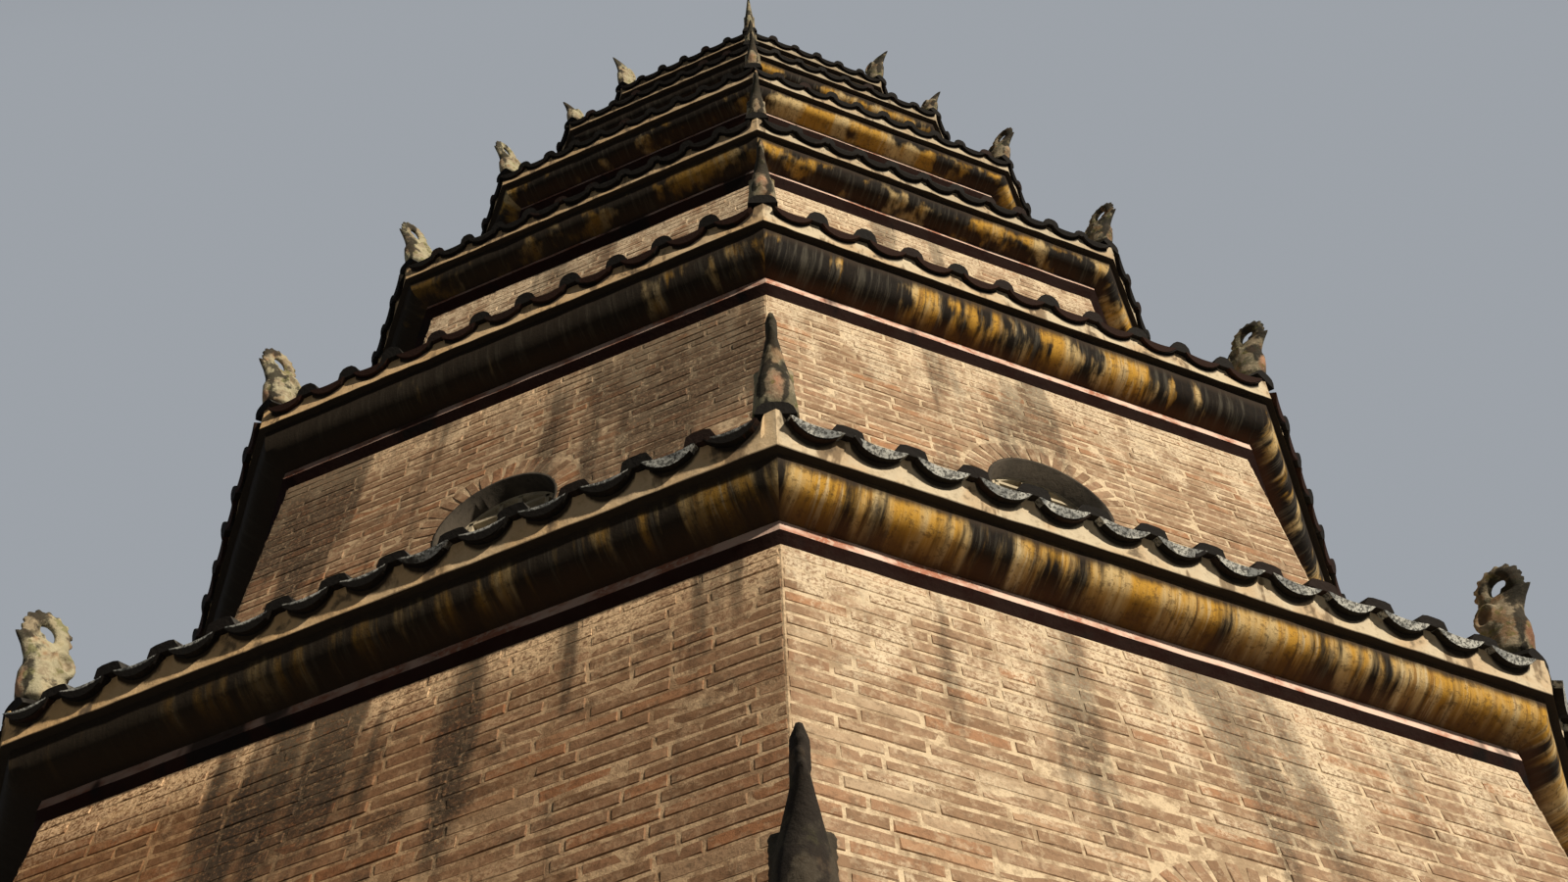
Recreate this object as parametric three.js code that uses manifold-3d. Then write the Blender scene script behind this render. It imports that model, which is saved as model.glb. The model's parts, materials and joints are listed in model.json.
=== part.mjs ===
// An eight-sided brick pagoda tower of seven storeys, in millimetres, +Z up.
// The doorway looks towards -Y, and the origin is on the ground under the tower's axis.
// Radii called "corner radii" run to an octagon's corners, "apothems" to the middle of its faces.
import * as THREE from 'three';
import { mergeVertices } from 'three/addons/utils/BufferGeometryUtils.js';
import Module from 'manifold-3d';

const wasm = await Module();
wasm.setup();

// Storeys from the ground up: corner radius and height of the eave slab's lower edge, wall thickness,
// height of the window centres, and how the ornaments on the eave have weathered
const storeys = [
  { eaveRadius: 4360, eaveHeight: 3700, wallThickness: 900, windowHeight: 2100, ornaments: 'whole' },
  { eaveRadius: 4000, eaveHeight: 6390, wallThickness: 750, windowHeight: 4813, ornaments: 'whole' },
  { eaveRadius: 3642, eaveHeight: 9084, wallThickness: 650, windowHeight: 7710, ornaments: 'whole' },
  { eaveRadius: 3207, eaveHeight: 11490, wallThickness: 600, windowHeight: 10310, ornaments: 'whole' },
  { eaveRadius: 2755, eaveHeight: 13832, wallThickness: 500, windowHeight: 12700, ornaments: 'whole' },
  { eaveRadius: 2288, eaveHeight: 15896, wallThickness: 450, windowHeight: 14930, ornaments: 'worn' },
  { eaveRadius: 1814, eaveHeight: 17806, wallThickness: 400, windowHeight: 16940, ornaments: 'tall' },
];
const totalHeight = 21240;
const joint = 0.3; // the gap between pieces that touch
const sides = 8;
const sideAngle = (2 * Math.PI) / sides;
const cornerFactor = Math.cos(sideAngle / 2); // apothem over corner radius

// The stepped base
const stepHeight = 200;
const stepTread = 320;
const stepCount = 3;
const baseMargin = 250; // the top step's width outside the wall
const baseHeight = stepHeight * stepCount;

// The cornice under each eave, measured at the corners and from the slab's lower edge
const wallSetBack = 255;
const bandSetBack = 178;
const bandHeight = 60;
const corniceDepth = 240;
const ovoloSetBack = 30;
const ovoloSteps = 5;
const slabHeight = 45;
const floorBearing = 150; // how far a floor lies on the wall below
const splitLevels = 4; // storeys whose walls are half rings or smaller, from the ground up

// The tiled skirts, their hip ridges and the ornaments on the ridges' ends
const tileOverhang = 65;
const tileEdgeHeight = 130; // the tiles' top over the slab's lower edge, at their outer edge
const skirtSlope = 0.508; // rise over run along a hip
const ridgeWidth = 170;
const ridgeHeight = 130;
const ridgeSink = 80; // what the ridge's outline reaches below the tiles before it is cut to them
const ridgeEnd = 25; // how far a ridge runs past the slab's corner
const collarWidth = 70;
const collarHeight = 110;
const ornamentWidth = 175;
const ornamentTopWidth = 40;
const ornamentFoot = 250; // the outline's foot over the slab's lower edge

// The top roof and its finial
const roofSlope = 0.64;
const roofTopRadius = 420;
const finialSides = 16;

// Openings
const windowRadius = 300; // at the corners of the twelve-sided hole
const windowSides = 12;
const archSides = 24;
const doorWidth = 1100;
const doorSpring = 1650; // the height of the door's upright sides
const cutMargin = 100; // what a cutting solid reaches past a wall's faces

const brick = new THREE.MeshStandardMaterial({ color: 0xa8896a, roughness: 0.95, metalness: 0 });
const stone = new THREE.MeshStandardMaterial({ color: 0x8f8878, roughness: 0.9, metalness: 0 });
const floorBrick = new THREE.MeshStandardMaterial({ color: 0x96745a, roughness: 0.95, metalness: 0 });
const ochrePlaster = new THREE.MeshStandardMaterial({ color: 0xb3842f, roughness: 0.9, metalness: 0 });
const tile = new THREE.MeshStandardMaterial({ color: 0x35302b, roughness: 0.85, metalness: 0 });
const mouldedPlaster = new THREE.MeshStandardMaterial({ color: 0x8c8672, roughness: 0.95, metalness: 0 });
const glazed = new THREE.MeshStandardMaterial({ color: 0xb79a58, roughness: 0.6, metalness: 0 });

// A closed mesh whose points are shared, without the flat triangles that a lathe leaves on its axis
function weld(geometry) {
  geometry.deleteAttribute('normal');
  geometry.deleteAttribute('uv');
  const shared = mergeVertices(geometry, 0.01);
  const index = [];
  for (let i = 0; i < shared.index.count; i += 3) {
    const [a, b, c] = [0, 1, 2].map((corner) => shared.index.getX(i + corner));
    if (a !== b && b !== c && c !== a) index.push(a, b, c);
  }
  shared.setIndex(index);
  return shared;
}

function signedVolume(positions, index) {
  let volume = 0;
  const [a, b, c] = [new THREE.Vector3(), new THREE.Vector3(), new THREE.Vector3()];
  for (let i = 0; i < index.length; i += 3) {
    a.fromArray(positions, index[i] * 3);
    b.fromArray(positions, index[i + 1] * 3);
    c.fromArray(positions, index[i + 2] * 3);
    volume += a.dot(b.cross(c)) / 6;
  }
  return volume;
}

// The solid that a closed geometry bounds, its faces turned outwards
function toSolid(geometry) {
  const shared = weld(geometry);
  const vertProperties = new Float32Array(shared.attributes.position.array);
  const triVerts = new Uint32Array(shared.index.array);
  if (signedVolume(vertProperties, triVerts) < 0) {
    for (let i = 0; i < triVerts.length; i += 3) {
      [triVerts[i], triVerts[i + 1]] = [triVerts[i + 1], triVerts[i]];
    }
  }
  return new wasm.Manifold(new wasm.Mesh({ numProp: 3, vertProperties, triVerts }));
}

function toGeometry(solid) {
  const mesh = solid.getMesh();
  const geometry = new THREE.BufferGeometry();
  geometry.setAttribute('position', new THREE.BufferAttribute(mesh.vertProperties, 3));
  geometry.setIndex(new THREE.BufferAttribute(mesh.triVerts, 1));
  const flat = geometry.toNonIndexed();
  flat.computeVertexNormals();
  return flat;
}

const tower = new THREE.Group();

function addPiece(name, solid, material) {
  const piece = new THREE.Mesh(toGeometry(solid), material);
  piece.name = name;
  tower.add(piece);
}

function joinAll(solids) {
  return solids.reduce((whole, solid) => whole.add(solid));
}

// Turns an outline of [corner radius, height] points into an octagonal ring, or a disc from the axis
function octagonRing(profile) {
  const closes = profile[0][0] > 0;
  const outline = closes ? [...profile, profile[0]] : profile;
  const points = outline.map(([radius, height]) => new THREE.Vector2(radius, height));
  const geometry = new THREE.LatheGeometry(points, sides, sideAngle / 2);
  return toSolid(geometry.rotateX(Math.PI / 2));
}

// The point of an octagon in plan, at an angle counted from the front face's middle
function planPoint(apothem, angle) {
  const offAxis = angle - Math.round(angle / sideAngle) * sideAngle;
  const radius = apothem / Math.cos(offAxis);
  return new THREE.Vector2(radius * Math.sin(angle), -radius * Math.cos(angle));
}

function upright(outline, bottom, top) {
  const geometry = new THREE.ExtrudeGeometry(new THREE.Shape(outline), {
    depth: top - bottom,
    bevelEnabled: false,
  });
  return toSolid(geometry.translate(0, 0, bottom));
}

function octagonSlab(apothem, bottom, top) {
  const corners = [];
  for (let side = 0; side < sides; side += 1) {
    corners.push(planPoint(apothem, (side + 0.5) * sideAngle));
  }
  return upright(corners, bottom, top);
}

// A stretch of wall over whole faces, from firstFace on, with its ends on the corners' radii
function wallStretch(storey, firstFace, faceCount, bottom, top) {
  const { outer, inner } = storey;
  const pullBack = joint / 2 / inner;
  const start = (firstFace - 0.5) * sideAngle + pullBack;
  const end = (firstFace + faceCount - 0.5) * sideAngle - pullBack;
  const angles = [start];
  for (let face = 0; face < faceCount - 1; face += 1) {
    angles.push((firstFace + face + 0.5) * sideAngle);
  }
  angles.push(end);
  const outerLine = angles.map((angle) => planPoint(outer, angle));
  const innerLine = angles.map((angle) => planPoint(inner, angle)).reverse();
  return upright([...outerLine, ...innerLine], bottom, top);
}

function wallRing(storey, bottom, top) {
  const outerRadius = storey.outer / cornerFactor;
  const innerRadius = storey.inner / cornerFactor;
  return octagonRing([
    [innerRadius, bottom],
    [outerRadius, bottom],
    [outerRadius, top],
    [innerRadius, top],
  ]);
}

// A round hole through one face of a storey's wall
function windowCutter(storey, face) {
  const length = storey.outer - storey.inner + 2 * cutMargin;
  const geometry = new THREE.CylinderGeometry(windowRadius, windowRadius, length, windowSides);
  geometry.translate(0, -(storey.outer + storey.inner) / 2, storey.windowHeight);
  return toSolid(geometry.rotateZ(face * sideAngle));
}

function cutWindows(wall, storey, faces) {
  return wall.subtract(joinAll(faces.map((face) => windowCutter(storey, face))));
}

const allFaces = [0, 1, 2, 3, 4, 5, 6, 7];

// What follows from the driving sizes, for each storey
storeys.forEach((storey, level) => {
  storey.name = `storey_${level + 1}`;
  storey.eaveName = `eave_${level + 1}`;
  storey.wallRadius = storey.eaveRadius - wallSetBack;
  storey.outer = storey.wallRadius * cornerFactor;
  storey.inner = storey.outer - storey.wallThickness;
  storey.top = storey.eaveHeight - corniceDepth;
  storey.bed = storey.eaveHeight + slabHeight;
  storey.bottom = level === 0 ? baseHeight + joint : storeys[level - 1].bed + joint;
});

// The base: octagonal steps, the top one being the ground floor
function addBase() {
  const topApothem = storeys[0].outer + baseMargin;
  for (let step = 0; step < stepCount; step += 1) {
    const apothem = topApothem + (stepCount - 1 - step) * stepTread;
    const bottom = step * stepHeight + (step > 0 ? joint : 0);
    addPiece(`base_step_${step + 1}`, octagonSlab(apothem, bottom, (step + 1) * stepHeight), stone);
  }
}

// The ground storey: its front is split beside and over the doorway
function addGroundWalls(storey) {
  const springHeight = baseHeight + doorSpring;
  const doorHalf = doorWidth / 2;
  const outerHalf = storey.outer * Math.tan(sideAngle / 2);
  const innerHalf = storey.inner * Math.tan(sideAngle / 2);
  for (const [name, hand] of [['left', -1], ['right', 1]]) {
    const outline = [
      new THREE.Vector2(hand * doorHalf, -storey.outer),
      new THREE.Vector2(hand * (outerHalf - joint), -storey.outer),
      new THREE.Vector2(hand * (innerHalf - joint), -storey.inner),
      new THREE.Vector2(hand * doorHalf, -storey.inner),
    ];
    addPiece(`front_wall_${name}`, upright(outline, storey.bottom, springHeight), brick);
  }
  const archLength = storey.outer - storey.inner + 2 * cutMargin;
  const arch = new THREE.CylinderGeometry(doorHalf, doorHalf, archLength, archSides);
  arch.translate(0, -(storey.outer + storey.inner) / 2, springHeight);
  const overDoor = wallStretch(storey, 0, 1, springHeight + joint, storey.top);
  addPiece('front_wall_over_door', overDoor.subtract(toSolid(arch)), brick);
  for (const [name, faces] of [['right', [1, 2, 3]], ['back', [4]], ['left', [5, 6, 7]]]) {
    const wall = wallStretch(storey, faces[0], faces.length, storey.bottom, storey.top);
    addPiece(`${storey.name}_wall_${name}`, cutWindows(wall, storey, faces), brick);
  }
}

// The larger upper storeys are two half rings, the smaller ones whole rings
function addUpperWalls(storey, isSplit) {
  if (!isSplit) {
    const wall = wallRing(storey, storey.bottom, storey.top);
    addPiece(`${storey.name}_wall`, cutWindows(wall, storey, allFaces), brick);
    return;
  }
  for (const [name, firstFace] of [['front', -1], ['back', 3]]) {
    const wall = wallStretch(storey, firstFace, sides / 2, storey.bottom, storey.top);
    const faces = [0, 1, 2, 3].map((face) => firstFace + face);
    addPiece(`${storey.name}_wall_${name}`, cutWindows(wall, storey, faces), brick);
  }
}

// The moulded cornice: a flat band, a quarter-round and the eave's slab
function corniceOutline(storey, innerRadius) {
  const { eaveRadius, eaveHeight } = storey;
  const bandRadius = eaveRadius - bandSetBack;
  const ovoloWidth = bandSetBack - ovoloSetBack;
  const ovoloDepth = corniceDepth - bandHeight;
  const outline = [
    [innerRadius, storey.top + joint],
    [bandRadius, storey.top + joint],
  ];
  for (let step = 0; step <= ovoloSteps; step += 1) {
    const angle = (Math.PI / 2) * (1 - step / ovoloSteps);
    outline.push([
      bandRadius + ovoloWidth * Math.cos(angle),
      eaveHeight - ovoloDepth * Math.sin(angle),
    ]);
  }
  outline.push([eaveRadius, eaveHeight], [eaveRadius, storey.bed], [innerRadius, storey.bed]);
  return outline;
}

// The tiles' top surface along a hip, as a height for a corner radius
function skirtTop(storey, slope, radius) {
  const edgeRadius = storey.eaveRadius + tileOverhang;
  return storey.eaveHeight + tileEdgeHeight + slope * (edgeRadius - radius);
}

function skirtOutline(storey, slope, innerRadius) {
  const edgeRadius = storey.eaveRadius + tileOverhang;
  return [
    [innerRadius, storey.bed + joint],
    [edgeRadius, storey.bed + joint],
    [edgeRadius, skirtTop(storey, slope, edgeRadius)],
    [innerRadius, skirtTop(storey, slope, innerRadius)],
  ];
}

// A flat outline of [outwards, up] points, given a width that narrows upwards, towards one corner
function standing(outline, corner, width, topWidth = width, foot = 0, top = 1) {
  const shape = new THREE.Shape(outline.map(([out, up]) => new THREE.Vector2(out, up)));
  const geometry = new THREE.ExtrudeGeometry(shape, { depth: 1, bevelEnabled: false });
  const { position } = geometry.attributes;
  for (let i = 0; i < position.count; i += 1) {
    const share = (position.getY(i) - foot) / (top - foot);
    const wide = THREE.MathUtils.lerp(width, topWidth, share);
    position.setZ(i, (position.getZ(i) - 0.5) * wide);
  }
  geometry.rotateX(Math.PI / 2);
  return toSolid(geometry.rotateZ((corner + 0.5) * sideAngle - Math.PI / 2));
}

// The ornament on a hip's end, a bird's head looking up and outwards under a tall crest, as
// [outwards, up] from the slab's lower corner; it narrows upwards to a thin edge
const headOutline = [
  [-125, 250], [40, 250], [92, 388], [80, 445], [162, 552], [133, 588], [22, 580], [-106, 500],
];
const crestedOutline = [
  ...headOutline.slice(0, 5), [130, 588], [156, 635], [112, 705], [39, 741], [-48, 650], [-60, 545],
  [-106, 500],
];
const ornamentLooks = {
  whole: { outline: crestedOutline, spread: 1, stretch: 1 },
  worn: { outline: headOutline, spread: 0.8, stretch: 0.85 },
  tall: { outline: headOutline, spread: 1.1, stretch: 1.75 },
};

function ornament(storey, corner) {
  const { outline, spread, stretch } = ornamentLooks[storey.ornaments];
  const foot = storey.eaveHeight + ornamentFoot;
  const place = ([out, up]) => [storey.eaveRadius + out * spread, foot + (up - ornamentFoot) * stretch];
  const top = Math.max(...outline.map((point) => place(point)[1]));
  return standing(outline.map(place), corner, ornamentWidth, ornamentTopWidth, foot, top);
}

// Eight ridges joined by the collar that carries them, cut to the tiles under them
function addRidges(storey, slope, innerRadius) {
  const lowEnd = storey.eaveRadius + ridgeEnd;
  const ridgeStart = innerRadius + joint;
  const ridge = [ridgeStart, lowEnd].map((radius) => [radius, skirtTop(storey, slope, radius)]);
  const ridgeOutline = [
    [ridge[0][0], ridge[0][1] - ridgeSink],
    [ridge[1][0], ridge[1][1] - ridgeSink],
    [ridge[1][0], ridge[1][1] + ridgeHeight],
    [ridge[0][0], ridge[0][1] + ridgeHeight],
  ];
  const collar = octagonRing([
    [ridgeStart, ridge[0][1] - ridgeSink],
    [ridgeStart + collarWidth, ridge[0][1] - ridgeSink],
    [ridgeStart + collarWidth, ridge[0][1] + collarHeight],
    [ridgeStart, ridge[0][1] + collarHeight],
  ]);
  const solids = [collar];
  for (let corner = 0; corner < sides; corner += 1) {
    solids.push(standing(ridgeOutline, corner, ridgeWidth));
    solids.push(ornament(storey, corner));
  }
  const farRadius = ridge[1][0] + ridgeWidth;
  const nearRadius = innerRadius - cutMargin;
  const underside = octagonRing([
    [nearRadius, storey.bed],
    [farRadius, storey.bed],
    [farRadius, skirtTop(storey, slope, farRadius) + joint],
    [nearRadius, skirtTop(storey, slope, nearRadius) + joint],
  ]);
  const insideTop = ridge[0][1] + ridgeHeight + cutMargin;
  const inside = octagonSlab(ridgeStart * cornerFactor, storey.bed, insideTop);
  const name = `${storey.eaveName}_hips_and_ornaments`;
  addPiece(name, joinAll(solids).subtract(underside).subtract(inside), mouldedPlaster);
}

// The floor of the storey above, which lies on this storey's wall inside the cornice
function addFloor(storey, level) {
  const apothem = storey.inner + floorBearing - joint;
  addPiece(`floor_${level + 2}`, octagonSlab(apothem, storey.top + joint, storey.bed), floorBrick);
}

// The top roof closes storey seven, and the finial stands on its flat top
function addRoof(storey) {
  const edgeRadius = storey.eaveRadius + tileOverhang;
  const roofTop = skirtTop(storey, roofSlope, roofTopRadius);
  addPiece(`${storey.eaveName}_cornice`, octagonRing([
    [0, storey.top + joint],
    ...corniceOutline(storey, 0).slice(1, -1),
    [0, storey.bed],
  ]), ochrePlaster);
  addPiece('roof_tiles', octagonRing([
    [0, storey.bed + joint],
    [edgeRadius, storey.bed + joint],
    [edgeRadius, skirtTop(storey, roofSlope, edgeRadius)],
    [roofTopRadius, roofTop],
    [0, roofTop],
  ]), tile);
  addRidges(storey, roofSlope, roofTopRadius - collarWidth);
  addFinial(roofTop + joint);
}

function turned(profile) {
  const points = profile.map(([radius, height]) => new THREE.Vector2(radius, height));
  return toSolid(new THREE.LatheGeometry(points, finialSides).rotateX(Math.PI / 2));
}

// A lotus base with a slender-necked vase on it, as radius and height
function addFinial(foot) {
  const baseTop = foot + 420;
  addPiece('finial_base', turned([
    [0, foot], [300, foot], [300, foot + 130], [250, foot + 170], [240, foot + 230],
    [320, foot + 310], [360, foot + 400], [330, baseTop], [0, baseTop],
  ]), mouldedPlaster);
  const vase = [
    [0, 0], [190, 0], [170, 0.05], [240, 0.12], [320, 0.22], [335, 0.3], [290, 0.39], [180, 0.47],
    [110, 0.53], [95, 0.6], [150, 0.63], [150, 0.655], [90, 0.675], [120, 0.72], [125, 0.77],
    [70, 0.83], [30, 0.92], [0, 1],
  ];
  const vaseFoot = baseTop + joint;
  addPiece('finial_vase', turned(vase.map(([radius, share]) => [
    radius, THREE.MathUtils.lerp(vaseFoot, totalHeight, share),
  ])), glazed);
}

addBase();
storeys.forEach((storey, level) => {
  if (level === 0) addGroundWalls(storey);
  else addUpperWalls(storey, level < splitLevels);
});
storeys.slice(0, -1).forEach((storey, level) => {
  const innerRadius = (storey.inner + floorBearing) / cornerFactor;
  addFloor(storey, level);
  addPiece(`${storey.eaveName}_cornice`, octagonRing(corniceOutline(storey, innerRadius)), ochrePlaster);
  const wallAbove = storeys[level + 1].wallRadius + joint;
  addPiece(`${storey.eaveName}_tiles`, octagonRing(skirtOutline(storey, skirtSlope, wallAbove)), tile);
  addRidges(storey, skirtSlope, wallAbove);
});
addRoof(storeys[6]);

export default tower;
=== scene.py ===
import json
import math
import random

import bmesh
import bpy
from mathutils import Matrix, Vector, noise

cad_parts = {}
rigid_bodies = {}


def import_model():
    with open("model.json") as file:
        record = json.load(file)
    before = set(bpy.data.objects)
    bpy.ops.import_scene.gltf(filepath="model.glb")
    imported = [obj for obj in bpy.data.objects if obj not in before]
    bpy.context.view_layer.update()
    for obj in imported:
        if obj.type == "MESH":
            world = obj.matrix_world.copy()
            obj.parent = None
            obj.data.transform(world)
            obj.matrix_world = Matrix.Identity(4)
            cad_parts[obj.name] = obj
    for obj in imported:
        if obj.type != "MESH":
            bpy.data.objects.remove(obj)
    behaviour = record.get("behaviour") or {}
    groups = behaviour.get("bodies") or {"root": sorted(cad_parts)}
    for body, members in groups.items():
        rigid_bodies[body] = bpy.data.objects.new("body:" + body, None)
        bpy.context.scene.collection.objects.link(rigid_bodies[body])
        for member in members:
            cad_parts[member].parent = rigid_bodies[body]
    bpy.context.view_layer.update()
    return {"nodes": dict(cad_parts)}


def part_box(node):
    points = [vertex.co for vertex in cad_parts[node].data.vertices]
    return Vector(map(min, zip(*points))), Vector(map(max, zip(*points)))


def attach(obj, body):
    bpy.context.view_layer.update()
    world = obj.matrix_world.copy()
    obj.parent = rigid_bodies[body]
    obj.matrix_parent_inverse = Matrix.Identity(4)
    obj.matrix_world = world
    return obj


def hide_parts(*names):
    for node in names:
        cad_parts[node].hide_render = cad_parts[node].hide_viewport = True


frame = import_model()
scene = bpy.context.scene
chance = random.Random(11)

# what the whole tower shares; the rest of its sizes come from the frame
tower = {
    "slabHeight": 0.045,  # an eave slab, whose top is the cornice's top
    "windowRadius": 0.287,
    "doorHalf": 0.545,
    "doorSpring": 2.25,
    "skirtSlope": 0.508,  # rise over run along a hip
    "roofSlope": 0.64,
    "roofTopRadius": 0.42,
    "mergeGap": 1e-5,
}
# what differs by storey, listed from the ground up
storeyValues = {
    "corniceDepth": [0.208, 0.208, 0.289, 0.204, 0.190, 0.190, 0.190],  # from a slab down to the bricks
    "bandHeight": [0.050, 0.050, 0.054, 0.032, 0.030, 0.030, 0.030],
    "bandOut": [0.034, 0.034, 0.041, 0.051, 0.045, 0.045, 0.045],
    "thickness": [0.90, 0.75, 0.65, 0.60, 0.50, 0.45, 0.40],
    "windowHeight": [2.100, 4.813, 7.710, 10.310, 12.700, 14.930, 16.940],
}
faceTurn = math.pi / 4
cornerFactor = math.cos(faceTurn / 2)  # apothem over corner radius
cornerTangent = math.tan(faceTurn / 2)


def giveValues(storey, values):
    for key, listed in values.items():
        storey[key] = listed[storey["number"] - 1]


def turned(faces):
    # the turn from the front face to one that lies so many faces on; half numbers are corners
    return Matrix.Rotation(faces * faceTurn, 3, "Z")


def clamp(value):
    return max(0.0, min(1.0, value))


def readStorey(number):
    walls = sorted(name for name in frame["nodes"] if name.startswith(f"storey_{number}_wall")
                   or (number == 1 and name.startswith("front_wall")))
    boxes = [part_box(name) for name in walls]
    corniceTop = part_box(f"eave_{number}_cornice")[1]
    storey = {
        "number": number,
        "walls": walls,
        "apothem": max(high.x for low, high in boxes),
        "bottom": min(low.z for low, high in boxes),
        "top": max(high.z for low, high in boxes),
        "eaveRadius": corniceTop.x / cornerFactor,
        "eaveLevel": corniceTop.z - tower["slabHeight"],
    }
    giveValues(storey, storeyValues)
    storey["foot"] = storey["eaveLevel"] - storey["corniceDepth"]
    storey["bandTop"] = storey["foot"] + storey["bandOut"] + storey["bandHeight"]
    return storey


storeys = [readStorey(number) for number in range(1, 8)]
for storey, above in zip(storeys, storeys[1:]):
    storey["skirtInner"] = above["apothem"] / cornerFactor
    storey["slope"] = tower["skirtSlope"]
storeys[-1]["skirtInner"] = tower["roofTopRadius"]
storeys[-1]["slope"] = tower["roofSlope"]
print(f"frame loaded: {len(frame['nodes'])} nodes, {len(storeys)} storeys")


# shader maths as Python expressions
class Socket:
    def __init__(self, paint, link):
        self.paint = paint
        self.link = link

    def math(self, operation, first, second):
        return self.paint.node("ShaderNodeMath", {"operation": operation}, {0: first, 1: second})

    def __add__(self, other):
        return self.math("ADD", self, other)

    def __radd__(self, other):
        return self.math("ADD", other, self)

    def __sub__(self, other):
        return self.math("SUBTRACT", self, other)

    def __rsub__(self, other):
        return self.math("SUBTRACT", other, self)

    def __mul__(self, other):
        return self.math("MULTIPLY", self, other)

    def __rmul__(self, other):
        return self.math("MULTIPLY", other, self)


# one material: its nodes come from node(), which takes a type, settings and the inputs' values
class Paint:
    def __init__(self, name, specular=0.2):
        self.material = bpy.data.materials.new(name)
        self.material.use_nodes = True
        self.tree = self.material.node_tree
        self.surface = self.tree.nodes["Principled BSDF"]
        self.surface.inputs["Specular IOR Level"].default_value = specular
        self.place = self.node("ShaderNodeTexCoord", output="Object")

    def node(self, kind, settings=None, inputs=None, output=0):
        made = self.tree.nodes.new(kind)
        for key, value in (settings or {}).items():
            if key == "stops":
                self.setStops(made.color_ramp, value)
            else:
                setattr(made, key, value)
        for key, value in (inputs or {}).items():
            self.feed(made.inputs[key], value)
        return Socket(self, made.outputs[output])

    def feed(self, socket, value):
        if isinstance(value, Socket):
            self.tree.links.new(value.link, socket)
        elif socket.type == "RGBA":
            socket.default_value = (*value, 1)
        else:
            socket.default_value = value

    def setStops(self, ramp, stops):
        while len(ramp.elements) < len(stops):
            ramp.elements.new(0.5)
        for element, (position, color) in zip(ramp.elements, stops):
            element.position = position
            element.color = (*color, 1)

    def stretched(self, x, y, z, vector=None):
        return self.node("ShaderNodeVectorMath", {"operation": "MULTIPLY"},
                         {0: vector or self.place, 1: (x, y, z)})

    def noise(self, scale, detail=3.0, vector=None, roughness=0.55):
        return self.node("ShaderNodeTexNoise", {}, {"Vector": vector or self.place, "Scale": scale,
                                                    "Detail": detail, "Roughness": roughness})

    def between(self, value, low, high):
        return self.node("ShaderNodeMapRange", {"interpolation_type": "SMOOTHSTEP"},
                         {"Value": value, "From Min": low, "From Max": high})

    def mix(self, share, first, second, blend="MIX"):
        return self.node("ShaderNodeMix", {"data_type": "RGBA", "blend_type": blend},
                         {0: share, 6: first, 7: second}, 2)

    def coat(self, base, color, value, low, high, amount):
        # lays a colour over the base where the value rises from low to high
        return self.mix(self.between(value, low, high) * amount, base, color)

    def axis(self, name, vector=None):
        return self.node("ShaderNodeSeparateXYZ", {}, {0: vector or self.place}, name)

    def facing(self, hand, low=0.35, high=0.8):
        # 1 where the surface looks up (hand 1) or down (hand -1)
        normal = self.node("ShaderNodeNewGeometry", output="Normal")
        return self.between(self.axis("Z", normal) * hand, low, high)

    def attribute(self, name):
        return self.node("ShaderNodeAttribute", {"attribute_name": name}, output="Fac")

    def ramp(self, value, *stops):
        return self.node("ShaderNodeValToRGB", {"stops": stops}, {0: value})

    def finish(self, color, roughness, height=None, distance=0.01, strength=1.0):
        self.feed(self.surface.inputs["Base Color"], color)
        self.feed(self.surface.inputs["Roughness"], roughness)
        if height is not None:
            bump = self.node("ShaderNodeBump", {}, {"Strength": strength, "Distance": distance,
                                                    "Height": height})
            self.feed(self.surface.inputs["Normal"], bump)
        return self.material


# masks that every masonry surface shares: the left side, where materials paint shade and lay more stains,
# and streaks that run down
def shadedSide(paint):
    # 0 on the lit front right of the tower, 1 on its shaded left, with most of the step at the front corner;
    # it carries painted shade
    lean = paint.axis("X") * -0.12 + paint.axis("Y") * 0.02
    corner = paint.axis("X") * -0.9239 + paint.axis("Y") * -0.3827
    step = paint.between(corner, -0.03, 0.02) * (1 - paint.between(paint.axis("Y"), -1.0, 2.0) * 0.6)
    return step * 0.6 + paint.between(lean, -0.26, 0.14) * 0.4


def rainStreaks(paint, depth, side):
    # from the wall's top down: narrow dark runs in broad groups
    tall = paint.noise(4.2, 4.0, paint.stretched(1, 1, 0.10), 0.6)
    group = paint.noise(1.1, 2.0, paint.stretched(1, 1, 0.35))
    fade = 1 - paint.between(depth, 0.1, 2.3)
    return paint.between(tall * 0.55 + group * 0.5 + fade * 0.10 + side * 0.085, 0.650, 0.725)


brickLook = {
    "tones": [(0.0, (0.290, 0.180, 0.105)), (0.22, (0.360, 0.230, 0.138)), (0.50, (0.410, 0.268, 0.165)),
              (0.76, (0.385, 0.240, 0.146)), (0.90, (0.450, 0.235, 0.122)), (0.97, (0.520, 0.385, 0.250))],
    "pale": (0.62, 0.480, 0.32), "dark": (0.165, 0.105, 0.062), "stain": (0.034, 0.028, 0.021),
    "lime": (0.84, 0.70, 0.49), "mortar": (0.78, 0.62, 0.41), "mortarDark": (0.37, 0.255, 0.155),
    # shade, limeShade and limeLit: the left side's painted shade, its lime in painted shade, and painted
    # sunlit lime
    "shade": (0.48, 0.335, 0.225), "limeShade": (0.80, 0.53, 0.28),
    "limeLit": (0.92, 0.64, 0.38),
}


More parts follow.
